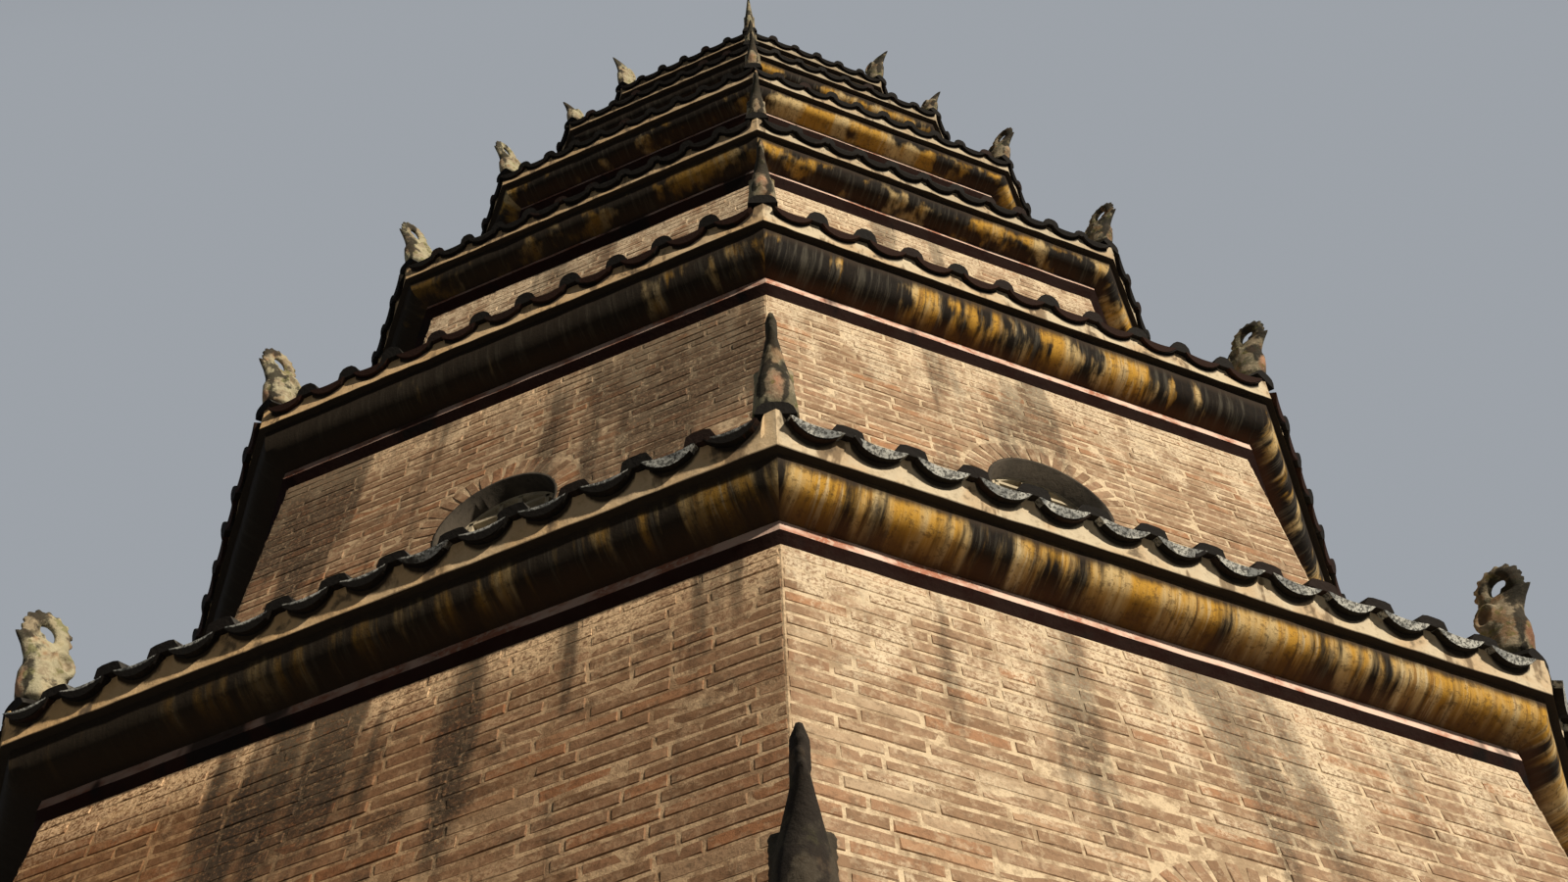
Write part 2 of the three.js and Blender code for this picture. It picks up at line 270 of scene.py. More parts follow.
def weathered(paint, storey, base, grain, amount):
    # lime run down from the cornice, black rain streaks, blotches, painted shade on the left side and a
    # painted strip of sunlight along that side's top
    depth = storey["foot"] - paint.axis("Z")
    side = shadedSide(paint) * storey["shadeShare"]
    # painted shade: on the left side the colours are multiplied darker and the lime takes a shaded copy
    base = paint.mix(side, base, paint.mix(1.0, base, brickLook["shade"], "MULTIPLY"))
    lime = paint.mix(side, brickLook["lime"], brickLook["limeShade"])
    ragged = paint.noise(7.0, 5.0, paint.stretched(1, 1, 0.4), 0.65)
    run = paint.between(ragged - depth * (0.30 + side * 0.4), 0.35, 0.50) * (1 - side * 0.10)
    base = paint.mix(run * paint.between(grain, 0.38, 0.58) * 0.85 * amount, base, lime)
    patches = paint.between(paint.noise(2.7, 6.0, paint.stretched(1, 1, 1.8), 0.7), 0.535, 0.63)
    base = paint.mix(patches * paint.between(grain, 0.42, 0.56) * (0.55 - side * 0.40) * amount, base, lime)
    blotches = paint.between(paint.noise(3.1, 6.0, None, 0.68), 0.56, 0.66) * (0.20 + side * 0.55)
    base = paint.mix(blotches * paint.between(grain, 0.36, 0.54), base, brickLook["stain"])
    # painted light: a bright strip of sunlit lime along the top of the shaded left wall
    lit = (1 - paint.between(depth + (ragged - 0.5) * 0.5, 0.02, 0.30)) * side
    base = paint.mix(lit * 0.75 * paint.between(grain, 0.40, 0.60), base, brickLook["limeLit"])
    streaks = rainStreaks(paint, depth, side) * (0.56 + side * 0.38)
    return paint.mix(streaks * paint.between(grain, 0.32, 0.52), base, brickLook["stain"])


def brickMaterial(storey):
    paint = Paint(f"bricks{storey['number']}", 0.12)
    grain = paint.noise(44.0, 6.0, None, 0.74)
    mottle = paint.noise(15.0, 5.0, None, 0.68)
    base = paint.ramp(paint.attribute("tone"), *brickLook["tones"])
    base = paint.coat(base, brickLook["dark"], mottle, 0.47, 0.60, 0.30)
    base = paint.coat(base, brickLook["pale"], paint.noise(27.0, 6.0, None, 0.72), 0.50, 0.60, 0.45)
    base = paint.coat(base, brickLook["dark"], grain, 0.53, 0.62, 0.40)
    base = weathered(paint, storey, base, paint.noise(75.0, 5.0, None, 0.72), 1.0)
    return paint.finish(base, 0.92, grain + mottle * 0.6, 0.006, 0.8)


def mortarMaterial(storey):
    paint = Paint(f"mortar{storey['number']}", 0.12)
    grain = paint.noise(60.0, 6.0, None, 0.74)
    broad = paint.noise(8.0, 5.0, None, 0.68)
    base = paint.coat(brickLook["mortar"], brickLook["mortarDark"], broad, 0.46, 0.58, 0.78)
    base = paint.coat(base, brickLook["mortarDark"], paint.noise(21.0, 5.0, None, 0.7), 0.50, 0.58, 0.55)
    base = paint.coat(base, brickLook["mortarDark"], grain, 0.52, 0.62, 0.35)
    base = weathered(paint, storey, base, grain, 0.8)
    return paint.finish(base, 0.95, grain + broad, 0.008, 0.8)


# the cornice's colours, among them painted shade for its left side, undersides and foot, and painted shadow
# under the slab and the pans
corniceColors = {
    "ochre": (0.58, 0.315, 0.047), "ochrePale": (0.62, 0.455, 0.215), "black": (0.010, 0.009, 0.009),
    "cream": (0.68, 0.575, 0.40), "creamDull": (0.40, 0.32, 0.205), "red": (0.46, 0.20, 0.125),
    "redPale": (0.84, 0.60, 0.48), "soot": (0.045, 0.032, 0.022),
    "limeRun": (0.70, 0.58, 0.36), "umber": (0.27, 0.13, 0.027), "flake": (0.10, 0.065, 0.03),
    "thinRun": (0.060, 0.045, 0.028), "blackWorn": (0.105, 0.095, 0.073), "foot": (0.055, 0.026, 0.013),
    "shade": (0.026, 0.019, 0.012), "redChalk": (0.80, 0.66, 0.52), "redShade": (0.12, 0.045, 0.028),
    "redUnderShade": (0.016, 0.006, 0.005), "creamWarm": (0.62, 0.46, 0.28), "creamShade": (0.70, 0.43, 0.18),
    "creamRun": (0.17, 0.115, 0.065), "creamDark": (0.10, 0.075, 0.05), "creamOld": (0.17, 0.145, 0.105),
    "paintedPanShadow": (0.016, 0.012, 0.009), "creamUnderShade": (0.030, 0.022, 0.014),
}


# streaks that run down the moulding follow its UV map: metres along the face, then up the profile
def mouldingStreaks(paint, across, along, detail=4.0):
    uv = paint.node("ShaderNodeTexCoord", output="UV")
    return paint.noise(1.0, detail, paint.stretched(across, along, 1, uv), 0.65)


# how each storey has weathered, and how strong its painted shade is, from the ground up
weather = {
    "shadeShare": [0.95, 0.95, 0.55, 0.15, 0.25, 0.4, 0.4],  # how strong the painted shade on the left side's bricks is
    "soot": [0.04, 0.04, 0.122, 0.07, 0.045, 0.12, 0.13],  # how much of the moulding is blackened; it also deepens the painted shadow under the slab
    "stainSpan": [3.4, 3.4, 3.8, 2.3, 1.7, 2.4, 2.4],  # the noise scale of its broad stains
    "stainRise": [0.50, 0.50, 1.1, 1.8, 1.6, 1.6, 1.6],  # the same up the profile
    "fineness": [0.85, 0.85, 0.7, 0.4, 0.4, 0.4, 0.4],  # of its streaks
    # painted shade with some soot at the moulding's foot
    "footDark": [0.90, 0.90, 0.90, 0.55, 0.55, 0.70, 0.70],
    # painted shade on the moulding's left side
    "sideDark": [0.96, 0.96, 0.90, 0.80, 0.35, 0.40, 0.55],
    "creamAge": [0.0, 0.0, 0.0, 0.22, 0.28, 0.48, 0.55],
}
for storey in storeys:
    giveValues(storey, weather)


def ochreMaterial(storey):
    paint = Paint(f"ochrePlaster{storey['number']}", 0.12)
    level = paint.axis("Z") - storey["bandTop"]
    drop = storey["eaveLevel"] - paint.axis("Z")
    cluster = paint.between(mouldingStreaks(paint, 2.6, 0.4, 3.0), 0.45, 0.57)
    amount = (cluster * 0.75 + 0.25) * storey["fineness"]
    side = shadedSide(paint)
    fine = mouldingStreaks(paint, 34.0, 1.6, 6.0)
    wide = mouldingStreaks(paint, 5.0, 0.6, 4.0)
    flakes = paint.noise(38.0, 6.0, None, 0.76)
    base = paint.mix(paint.between(wide, 0.45, 0.58), corniceColors["ochre"], corniceColors["ochrePale"])
    base = paint.mix(paint.between(fine, 0.53, 0.60) * 0.70 * amount, base, corniceColors["limeRun"])
    base = paint.mix(paint.between(mouldingStreaks(paint, 26.0, 1.4, 5.0), 0.53, 0.60) * 0.85 * amount, base,
                     corniceColors["umber"])
    base = paint.coat(base, corniceColors["flake"], flakes, 0.52, 0.60, 0.55)
    thin = paint.between(mouldingStreaks(paint, 60.0, 1.6, 3.0), 0.57, 0.63)
    base = paint.mix(thin * 0.8 * amount, base, corniceColors["thinRun"])
    bands = mouldingStreaks(paint, storey["stainSpan"], storey["stainRise"], 3.0)
    runs = mouldingStreaks(paint, storey["stainSpan"] * 4.5, 0.8 + storey["stainRise"], 5.0)
    dark = paint.between(bands * 0.68 + runs * 0.28 + paint.noise(1.1, 2.0) * 0.34 + side * 0.08
                         + storey["soot"], 0.690, 0.765)
    black = paint.coat(corniceColors["black"], corniceColors["blackWorn"], fine, 0.50, 0.64,
                       0.35 + storey["fineness"] * 0.35)
    base = paint.mix(dark * 0.985, base, black)
    ragged = (fine - 0.5) * 0.03 + (wide - 0.5) * 0.07
    # painted shade with some soot: the lowest part of the moulding, where it turns under above the band, is
    # darkened
    foot = 1 - paint.between(level + ragged * 0.6, 0.002, 0.030)
    base = paint.mix(foot * storey["footDark"], base, corniceColors["foot"])
    # painted shadow with some soot: a dark ragged strip right under the slab
    crown = 1 - paint.between(drop + ragged, 0.016, 0.034 + storey["soot"] * 0.35)
    base = paint.mix(crown * 0.94, base, corniceColors["soot"])
    # painted shade: the left side is darkened
    base = paint.mix(side * storey["sideDark"], base, corniceColors["shade"])
    return paint.finish(base, 0.88, flakes * 0.6 + fine * 0.5 + wide, 0.006, 0.8)


def bandMaterial(storey):
    paint = Paint(f"redBand{storey['number']}", 0.08)
    side = shadedSide(paint)
    grain = paint.noise(45.0, 5.0, None, 0.7)
    wide = mouldingStreaks(paint, 4.5, 6.0, 3.0)
    base = paint.mix(paint.between(wide, 0.44, 0.62), corniceColors["redPale"], corniceColors["red"])
    base = paint.coat(base, corniceColors["redChalk"], grain, 0.50, 0.60, 0.55)
    # painted shade: darker on the left side, and near black where the band faces down
    base = paint.mix(side * 0.60, base, corniceColors["redShade"])
    base = paint.mix(paint.facing(-1, 0.25, 0.55) * 0.985, base, corniceColors["redUnderShade"])
    dark = paint.between(mouldingStreaks(paint, 2.4, 1.0) + side * 0.06, 0.58, 0.66)
    base = paint.mix(dark * 0.85, base, corniceColors["black"])
    return paint.finish(base, 0.9, grain + wide, 0.005, 0.7)


def creamMaterial(storey):
    paint = Paint(f"creamEdge{storey['number']}", 0.2)
    side = shadedSide(paint)
    level = paint.axis("Z") - storey["eaveLevel"]
    grain = paint.noise(30.0, 5.0, None, 0.7)
    wide = paint.noise(5.0, 4.0)
    base = paint.mix(paint.between(wide, 0.42, 0.62), corniceColors["cream"], corniceColors["creamWarm"])
    base = paint.coat(base, corniceColors["creamDull"], grain, 0.50, 0.68, 0.6)
    # painted light and shade: the left side's cream turns darker and orange, as under grazing warm sun
    base = paint.mix(side * 0.70, base, corniceColors["creamShade"])
    runs = paint.noise(11.0, 4.0, paint.stretched(1, 1, 0.22), 0.6)
    base = paint.coat(base, corniceColors["creamRun"], runs + wide * 0.3, 0.70, 0.79, 0.8)
    dark = paint.between(wide * 0.6 + paint.noise(14.0, 4.0) * 0.5, 0.62, 0.70)
    base = paint.mix(dark * 0.8, base, corniceColors["creamDark"])
    base = paint.mix(storey["creamAge"], base, corniceColors["creamOld"])
    # painted shadow: a near-black band on the plaster right under each pan
    paintedPanShadow = 1 - paint.between(paint.attribute("below") + (grain - 0.5) * 0.02, 0.018, 0.038)
    base = paint.mix(paintedPanShadow * 0.95, base, corniceColors["paintedPanShadow"])
    # painted shade with some soot along the slab's lower edge
    base = paint.mix((1 - paint.between(level, 0.002, 0.008)) * 0.75, base, corniceColors["soot"])
    # painted shade where the plaster faces down
    base = paint.mix(paint.facing(-1) * 0.9, base, corniceColors["creamUnderShade"])
    return paint.finish(base, 0.92, grain + wide, 0.006, 0.7)


tileColors = {
    "clay": (0.014, 0.012, 0.010), "rust": (0.045, 0.020, 0.013), "grey": (0.050, 0.046, 0.040),
    "lichen": (0.62, 0.62, 0.56), "moss": (0.10, 0.115, 0.03), "speck": (0.04, 0.04, 0.036),
    "lichenDull": (0.26, 0.27, 0.26), "bare": (0.034, 0.016, 0.011),
}


def tileMaterial():
    paint = Paint("blackTiles", 0.15)
    tone = paint.attribute("tone")
    grain = paint.noise(48.0, 5.0, None, 0.7)
    broad = paint.noise(3.5, 4.0)
    base = paint.coat(tileColors["clay"], tileColors["rust"], tone, 0.70, 1.0, 0.5)
    base = paint.mix(paint.between(broad, 0.40, 0.66) * paint.facing(1, -0.3, 0.4) * 0.6, base,
                     tileColors["grey"])
    crust = paint.facing(1, 0.25) * paint.between(grain * 0.5 + broad * 0.6, 0.53, 0.62)
    base = paint.mix(crust * 0.75, base, tileColors["lichen"])
    moss = paint.facing(1, 0.2, 0.7) * paint.between(paint.noise(6.0, 4.0), 0.56, 0.66)
    base = paint.mix(moss * 0.7, base, tileColors["moss"])
    return paint.finish(base, 0.8, grain + broad, 0.006, 0.8)


def tileEndMaterial():
    paint = Paint("lichenedTileEnds", 0.12)
    tone = paint.attribute("tone")
    side = shadedSide(paint)
    grain = paint.noise(85.0, 5.0, None, 0.75)
    broad = paint.noise(12.0, 4.0)
    lichen = paint.mix(paint.between(broad, 0.44, 0.62), tileColors["lichen"], tileColors["lichenDull"])
    lichen = paint.coat(lichen, tileColors["speck"], grain, 0.475, 0.55, 0.85)
    rim = paint.between(paint.attribute("rim") + broad * 0.2, 0.75, 0.95) * paint.between(tone, 0.10, 0.30)
    front = 1 - paint.facing(-1, 0.58, 0.72)
    # painted shade: less pale lichen on the shaded left side
    cover = paint.between(tone + broad * 0.4 - side * 0.75, 0.42, 0.66)
    cover = front * (cover + rim * (1 - cover))
    base = paint.mix(paint.between(tone, 0.05, 0.10), tileColors["bare"], tileColors["clay"])
    return paint.finish(paint.mix(cover, base, lichen), 0.85, grain + broad, 0.004, 0.9)


mouldedColors = {
    "plaster": (0.34, 0.275, 0.180), "plasterDark": (0.150, 0.135, 0.085), "chalk": (0.48, 0.41, 0.29),
    "orange": (0.36, 0.19, 0.085), "pink": (0.46, 0.22, 0.125), "pinkDark": (0.24, 0.105, 0.062),
    "pinkChalk": (0.56, 0.38, 0.25), "pale": (0.55, 0.50, 0.33), "moss": (0.13, 0.135, 0.03),
    "soot": (0.020, 0.018, 0.015), "black": (0.030, 0.024, 0.020),
}


def mouldedMaterial():
    # moulded plaster: grey-green lichen, a pink breast, a sooty beak and painted shade in the breast's
    # crease, from the shape's own attributes
    paint = Paint("mouldedPlaster", 0.15)
    side = shadedSide(paint)
    grain = paint.noise(48.0, 6.0, None, 0.74)
    broad = paint.noise(9.0, 4.0)
    base = paint.mix(paint.between(broad, 0.40, 0.60), mouldedColors["plaster"],
                     mouldedColors["plasterDark"])
    base = paint.coat(base, mouldedColors["chalk"], grain, 0.53, 0.62, 0.6)
    orange = paint.between(paint.noise(11.0, 4.0), 0.54, 0.64)
    base = paint.mix(orange * 0.5, base, mouldedColors["orange"])
    pink = paint.mix(paint.between(broad, 0.44, 0.60), mouldedColors["pink"], mouldedColors["pinkDark"])
    pink = paint.coat(pink, mouldedColors["pinkChalk"], grain, 0.52, 0.62, 0.5)
    blush = paint.attribute("blush") * 0.85 * paint.between(paint.attribute("tone"), 0.4, 0.8)
    base = paint.mix(blush, base, pink)
    pale = side * paint.between(broad + grain * 0.3, 0.55, 0.70)
    base = paint.mix(pale * 0.70, base, mouldedColors["pale"])
    moss = paint.between(paint.noise(17.0, 4.0), 0.56, 0.64)
    base = paint.mix(moss * 0.6, base, mouldedColors["moss"])
    # soot, with painted shade in the breast's crease carried in the same attribute
    soot = paint.between(paint.noise(7.5, 5.0, None, 0.65) + paint.attribute("soot") * 0.5, 0.57, 0.68)
    base = paint.mix(soot * 0.88, base, mouldedColors["soot"])
    black = 1 - paint.between(paint.attribute("tone"), 0.05, 0.25)
    base = paint.mix(black * 0.85, base, mouldedColors["black"])
    return paint.finish(base, 0.92, grain + broad, 0.008, 0.9)


def plainMaterial(name, first, second, scale, specular=0.2, roughness=0.92, distance=0.006):
    # a mottled finish of two colours with a fine grain
    paint = Paint(name, specular)
    broad = paint.noise(scale, 4.0)
    grain = paint.noise(scale * 9, 5.0, None, 0.7)
    base = paint.mix(paint.between(broad, 0.36, 0.64), first, second)
    base = paint.coat(base, [0.45 * value for value in second], grain, 0.52, 0.70, 0.5)
    return paint.finish(base, roughness, grain + broad, distance, 0.7)


# painted shade: the reveals and the doorway's lining are near black, as the shade inside the openings
revealPlaster = plainMaterial("revealPlaster", (0.085, 0.070, 0.052), (0.030, 0.026, 0.020), 3.5)
latticePlaster = plainMaterial("latticePlaster", (0.66, 0.57, 0.40), (0.46, 0.39, 0.27), 6.0)
stepStone = plainMaterial("stepStone", (0.34, 0.31, 0.26), (0.20, 0.185, 0.155), 2.2)
floorPaving = plainMaterial("floorPaving", (0.34, 0.21, 0.14), (0.22, 0.14, 0.10), 3.0)
bedPlaster = plainMaterial("bedPlaster", (0.17, 0.15, 0.115), (0.075, 0.068, 0.055), 3.0)
glazedOchre = plainMaterial("glazedOchre", (0.50, 0.33, 0.10), (0.33, 0.20, 0.06), 4.0, 0.5, 0.42, 0.002)
tilePaint, tileEndPaint, mouldedPaint = tileMaterial(), tileEndMaterial(), mouldedMaterial()
print("materials made")


# a finished mesh becomes a piece of the tower
def addPiece(name, mesh, materials, replaced=()):
    for index, material in enumerate(materials):
        if index < len(mesh.materials):
            mesh.materials[index] = material
        else:
            mesh.materials.append(material)
    piece = bpy.data.objects.new(name, mesh)
    scene.collection.objects.link(piece)
    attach(piece, "root")
    if replaced:
        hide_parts(*replaced)


def paintNode(name, material):
    shown = frame["nodes"][name].data.materials
    shown.clear()
    shown.append(material)


def toMesh(shape, name, recalculate=True):
    if recalculate:
        bmesh.ops.recalc_face_normals(shape, faces=shape.faces)
    mesh = bpy.data.meshes.new(name)
    shape.to_mesh(mesh)
    shape.free()
    return mesh


# a place on one face, given as if on the front: across, outwards is -y, up; half numbers are corners
def spotOn(face, place, turn=(0, 0, 0), size=(1, 1, 1), kind=0, tone=0.5):
    return {"place": turned(face) @ Vector(place), "turn": (turn[0], turn[1], turn[2] + face * faceTurn),
            "size": size, "kind": kind, "tone": tone}


# many small solids as one mesh: shapes are instanced on spots by Geometry Nodes and realized
def scatter(name, shapes, spots):
    library = bpy.data.collections.new(f"{name}Shapes")
    scene.collection.children.link(library)
    for number, shape in enumerate(shapes):
        library.objects.link(bpy.data.objects.new(f"{name}Shape{number:02d}", shape))
    points = bpy.data.meshes.new(f"{name}Spots")
    points.from_pydata([spot["place"] for spot in spots], [], [])
    for key, kind in (("turn", "FLOAT_VECTOR"), ("size", "FLOAT_VECTOR"), ("kind", "INT"),
                      ("tone", "FLOAT")):
        attribute = points.attributes.new(key, kind, "POINT")
        values = [spot[key] for spot in spots]
        if kind == "FLOAT_VECTOR":
            attribute.data.foreach_set("vector", [part for value in values for part in value])
        else:
            attribute.data.foreach_set("value", values)
    tree = bpy.data.node_groups.new(f"{name}Tree", "GeometryNodeTree")
    tree.interface.new_socket("Geometry", in_out="INPUT", socket_type="NodeSocketGeometry")
    tree.interface.new_socket("Geometry", in_out="OUTPUT", socket_type="NodeSocketGeometry")
    start, end = tree.nodes.new("NodeGroupInput"), tree.nodes.new("NodeGroupOutput")
    place = tree.nodes.new("GeometryNodeInstanceOnPoints")
    source = tree.nodes.new("GeometryNodeCollectionInfo")
    realize = tree.nodes.new("GeometryNodeRealizeInstances")
    turn = tree.nodes.new("FunctionNodeEulerToRotation")
    source.inputs["Collection"].default_value = library
    source.inputs["Separate Children"].default_value = True
    source.inputs["Reset Children"].default_value = True
    place.inputs["Pick Instance"].default_value = True
    for key, kind, target in (("turn", "FLOAT_VECTOR", turn.inputs[0]),
                              ("kind", "INT", place.inputs["Instance Index"]),
                              ("size", "FLOAT_VECTOR", place.inputs["Scale"])):
        read = tree.nodes.new("GeometryNodeInputNamedAttribute")
        read.data_type = kind
        read.inputs["Name"].default_value = key
        tree.links.new(read.outputs["Attribute"], target)
    tree.links.new(turn.outputs[0], place.inputs["Rotation"])
    tree.links.new(source.outputs[0], place.inputs["Instance"])
    tree.links.new(start.outputs[0], place.inputs["Points"])
    tree.links.new(place.outputs[0], realize.inputs[0])
    tree.links.new(realize.outputs[0], end.inputs[0])
    holder = bpy.data.objects.new(f"{name}Holder", points)
    scene.collection.objects.link(holder)
    holder.modifiers.new("scatter", "NODES").node_group = tree
    depsgraph = bpy.context.evaluated_depsgraph_get()
    mesh = bpy.data.meshes.new_from_object(holder.evaluated_get(depsgraph), preserve_all_data_layers=True,
                                           depsgraph=depsgraph)
    mesh.name = name
    for key in ("turn", "size", "kind"):
        if key in mesh.attributes:
            mesh.attributes.remove(mesh.attributes[key])
    for shown in [*library.objects, holder]:
        bpy.data.objects.remove(shown)
    bpy.data.collections.remove(library)
    return mesh


# a line through points, closed or open, swept right round an axis
def sweep(shape, points, axis, steps, closed=True):
    verts = [shape.verts.new(point) for point in points]
    edges = [shape.edges.new(pair) for pair in zip(verts, verts[1:] + (verts[:1] if closed else []))]
    bmesh.ops.spin(shape, geom=verts + edges, cent=(0, 0, 0), axis=axis, dvec=(0, 0, 0),
                   angle=math.tau, steps=steps, use_merge=True, use_duplicate=False)


def addScattered(name, shapes, spots, material, replaced=()):
    addPiece(name, scatter(name, shapes, spots), [material], replaced)


# the octagonal solid that an outline of (corner radius, height) points sweeps round the axis
def spinOctagon(outline, closed=True):
    shape = bmesh.new()
    points = [turned(0.5) @ Vector((0, -radius, height)) for radius, height in outline]
    sweep(shape, points, (0, 0, 1), 8, closed)
    bmesh.ops.remove_doubles(shape, verts=shape.verts, dist=tower["mergeGap"])
    bmesh.ops.recalc_face_normals(shape, faces=shape.faces)
    return shape


# bricks: a few worn shapes of unit length, whose sides slope in from the joint to the face
bricks = {
    "shapes": 8, "course": 0.0615, "height": 0.0515, "stretcher": 0.296, "header": 0.146,
    "joint": 0.010, "headerShare": 0.24, "proud": 0.0022, "sunk": 0.004, "slope": 0.005,
    "wear": 0.0024, "ringLength": 0.118, "ringGap": 0.010, "archLength": 0.27, "shortest": 0.045,
    "turns": (0.006, 0.004, 0.004), "lengths": (0.94, 1.04), "heights": (0.93, 1.02), "joints": (0.75, 1.15),
    "depthShift": 0.0015, "levelShift": 0.0012,
}


def brickShape():
    shape = bmesh.new()
    bmesh.ops.create_cube(shape, size=1.0)
    long = [edge for edge in shape.edges if abs(edge.verts[0].co.x - edge.verts[1].co.x) > 0.5]
    bmesh.ops.subdivide_edges(shape, edges=long, cuts=1)
    hidden = [face for face in shape.faces if face.calc_center_median().y > 0.49]
    bmesh.ops.delete(shape, geom=hidden, context="FACES_ONLY")
    for vert in shape.verts:
        isFront = vert.co.y < 0
        inset = bricks["slope"] if isFront else 0.0
        vert.co.x *= 1 - 2 * inset / bricks["stretcher"]
        vert.co.z *= bricks["height"] - 2 * inset
        vert.co.y = -bricks["proud"] if isFront else bricks["sunk"]
        vert.co.z += chance.uniform(-1, 1) * bricks["wear"]
        vert.co.x += chance.uniform(-1, 1) * bricks["wear"] * 2.5
        if isFront:
            vert.co.y += chance.uniform(-1, 1) * bricks["wear"]
    return toMesh(shape, "brick", False)


def blockedSpans(storey, face, low, high):
    # where a course meets the ring of bricks round an opening: (from, to) across the face
    if face == 0 and storey["number"] == 1:
        radius = tower["doorHalf"] + bricks["archLength"] + bricks["joint"]
        rise = max(0.0, low - tower["doorSpring"])
        if high < tower["doorSpring"]:
            return [(-tower["doorHalf"] - bricks["joint"], tower["doorHalf"] + bricks["joint"])]
    else:
        radius = tower["windowRadius"] + bricks["ringGap"] + bricks["ringLength"] + bricks["joint"]
        rise = max(0.0, low - storey["windowHeight"], storey["windowHeight"] - high)
    if rise >= radius:
        return []
    half = math.sqrt(radius ** 2 - rise ** 2)
    return [(-half, half)]


def layCourse(storey, face, number):
    level = storey["foot"] - (number + 0.5) * bricks["course"]
    half = storey["apothem"] * cornerTangent
    spans = blockedSpans(storey, face, level - bricks["height"] / 2, level + bricks["height"] / 2)
    start, spots = -half, []
    first = bricks["header"]
    if number % 2 == 0:
        first = chance.choice([bricks["stretcher"], bricks["stretcher"] * 0.75])
    while start < half - 1e-4:
        isHeader = chance.random() < bricks["headerShare"]
        kind = "header" if isHeader else "stretcher"
        length = first or bricks[kind] * chance.uniform(*bricks["lengths"])
        first = None
        end = start + length
        if half - end < bricks["shortest"] * 1.6:
            end = half
        parts = [(start, end)]
        for low, high in spans:
            pieces = [piece for a, b in parts for piece in ((a, min(b, low)), (max(a, high), b))]
            parts = [(a, b) for a, b in pieces if b > a]
        for a, b in parts:
            if b - a < bricks["shortest"]:
                continue
            turn = [chance.gauss(0, spread) for spread in bricks["turns"]]
            depth = chance.uniform(-bricks["depthShift"], bricks["depthShift"])
            place = ((a + b) / 2, -storey["apothem"] + depth, level + chance.gauss(0, bricks["levelShift"]))
            size = (b - a - bricks["joint"] * chance.uniform(*bricks["joints"]), 1,
                    chance.uniform(*bricks["heights"]))
            spots.append(spotOn(face, place, turn, size, chance.randrange(bricks["shapes"]),
                                chance.random()))
        start = end
    return spots


def ringBricks(storey, face, level, radius, length, fromAngle, toAngle):
    # bricks on edge round an opening, each pointing at its centre
    middle = radius + length / 2
    count = round((toAngle - fromAngle) * middle / (bricks["height"] + bricks["joint"]))
    spots = []
    for number in range(count):
        angle = fromAngle + (number + 0.5) * (toAngle - fromAngle) / count
        place = (middle * math.cos(angle), -storey["apothem"] - 0.001, level + middle * math.sin(angle))
        size = (length * chance.uniform(0.93, 1.0), 1, chance.uniform(0.90, 1.0))
        spots.append(spotOn(face, place, (0, -angle, 0), size, chance.randrange(bricks["shapes"]),
                            chance.random()))
    return spots


brickShapes = [brickShape() for _ in range(bricks["shapes"])]
for storey in storeys:
    spots = []
    for face in range(8):
        courses = int((storey["foot"] - storey["bottom"]) / bricks["course"])
        for number in range(courses):
            spots += layCourse(storey, face, number)
        if face == 0 and storey["number"] == 1:
            spots += ringBricks(storey, face, tower["doorSpring"], tower["doorHalf"] + bricks["ringGap"],
                                bricks["archLength"], 0, math.pi)
        else:
            spots += ringBricks(storey, face, storey["windowHeight"],
                                tower["windowRadius"] + bricks["ringGap"], bricks["ringLength"], 0, math.tau)
    addScattered(f"storey_{storey['number']}_bricks", brickShapes, spots, brickMaterial(storey))
    storey["mortar"] = mortarMaterial(storey)
    for name in storey["walls"]:
        paintNode(name, storey["mortar"])
for number in range(2, 8):
    paintNode(f"floor_{number}", floorPaving)
print("brickwork laid")


# round windows: a plastered reveal, and set back in it a fret of plaster bars
windows = {
    "revealSides": 48, "revealOuter": 0.303, "revealProud": 0.004, "latticeDepth": 0.11,
    "latticeThickness": 0.035, "barWidth": 0.020, "ringWidth": 0.022, "ringOverlap": 0.003,
    "fretOuter": 0.66, "fretInner": 0.34,  # the fret's two squares, over the window's radius
}


def revealShape(storey):
    inner, outer = tower["windowRadius"], windows["revealOuter"]
    shape = bmesh.new()
    front, back = -storey["apothem"] - windows["revealProud"], -storey["apothem"] + storey["thickness"]
    corners = [(inner, front, 0), (outer, front, 0), (outer, back, 0), (inner, back, 0)]
    sweep(shape, corners, (0, 1, 0), windows["revealSides"])
    bmesh.ops.translate(shape, verts=shape.verts, vec=(0, 0, storey["windowHeight"]))
    mesh = toMesh(shape, "reveal")
    mesh.shade_smooth()
    return mesh


def addBar(shape, fromPoint, toPoint, width, thickness):
    # a straight bar in the lattice's plane, between two (across, up) points
    start, end = Vector((fromPoint[0], 0, fromPoint[1])), Vector((toPoint[0], 0, toPoint[1]))
    along = end - start
    angle = -math.atan2(along.z, along.x)
    bar = bmesh.ops.create_cube(shape, size=1.0)["verts"]
    bmesh.ops.scale(shape, verts=bar, vec=(along.length + width, thickness, width))
    bmesh.ops.rotate(shape, verts=bar, cent=(0, 0, 0), matrix=Matrix.Rotation(angle, 3, "Y"))
    bmesh.ops.translate(shape, verts=bar, vec=(start + end) / 2)


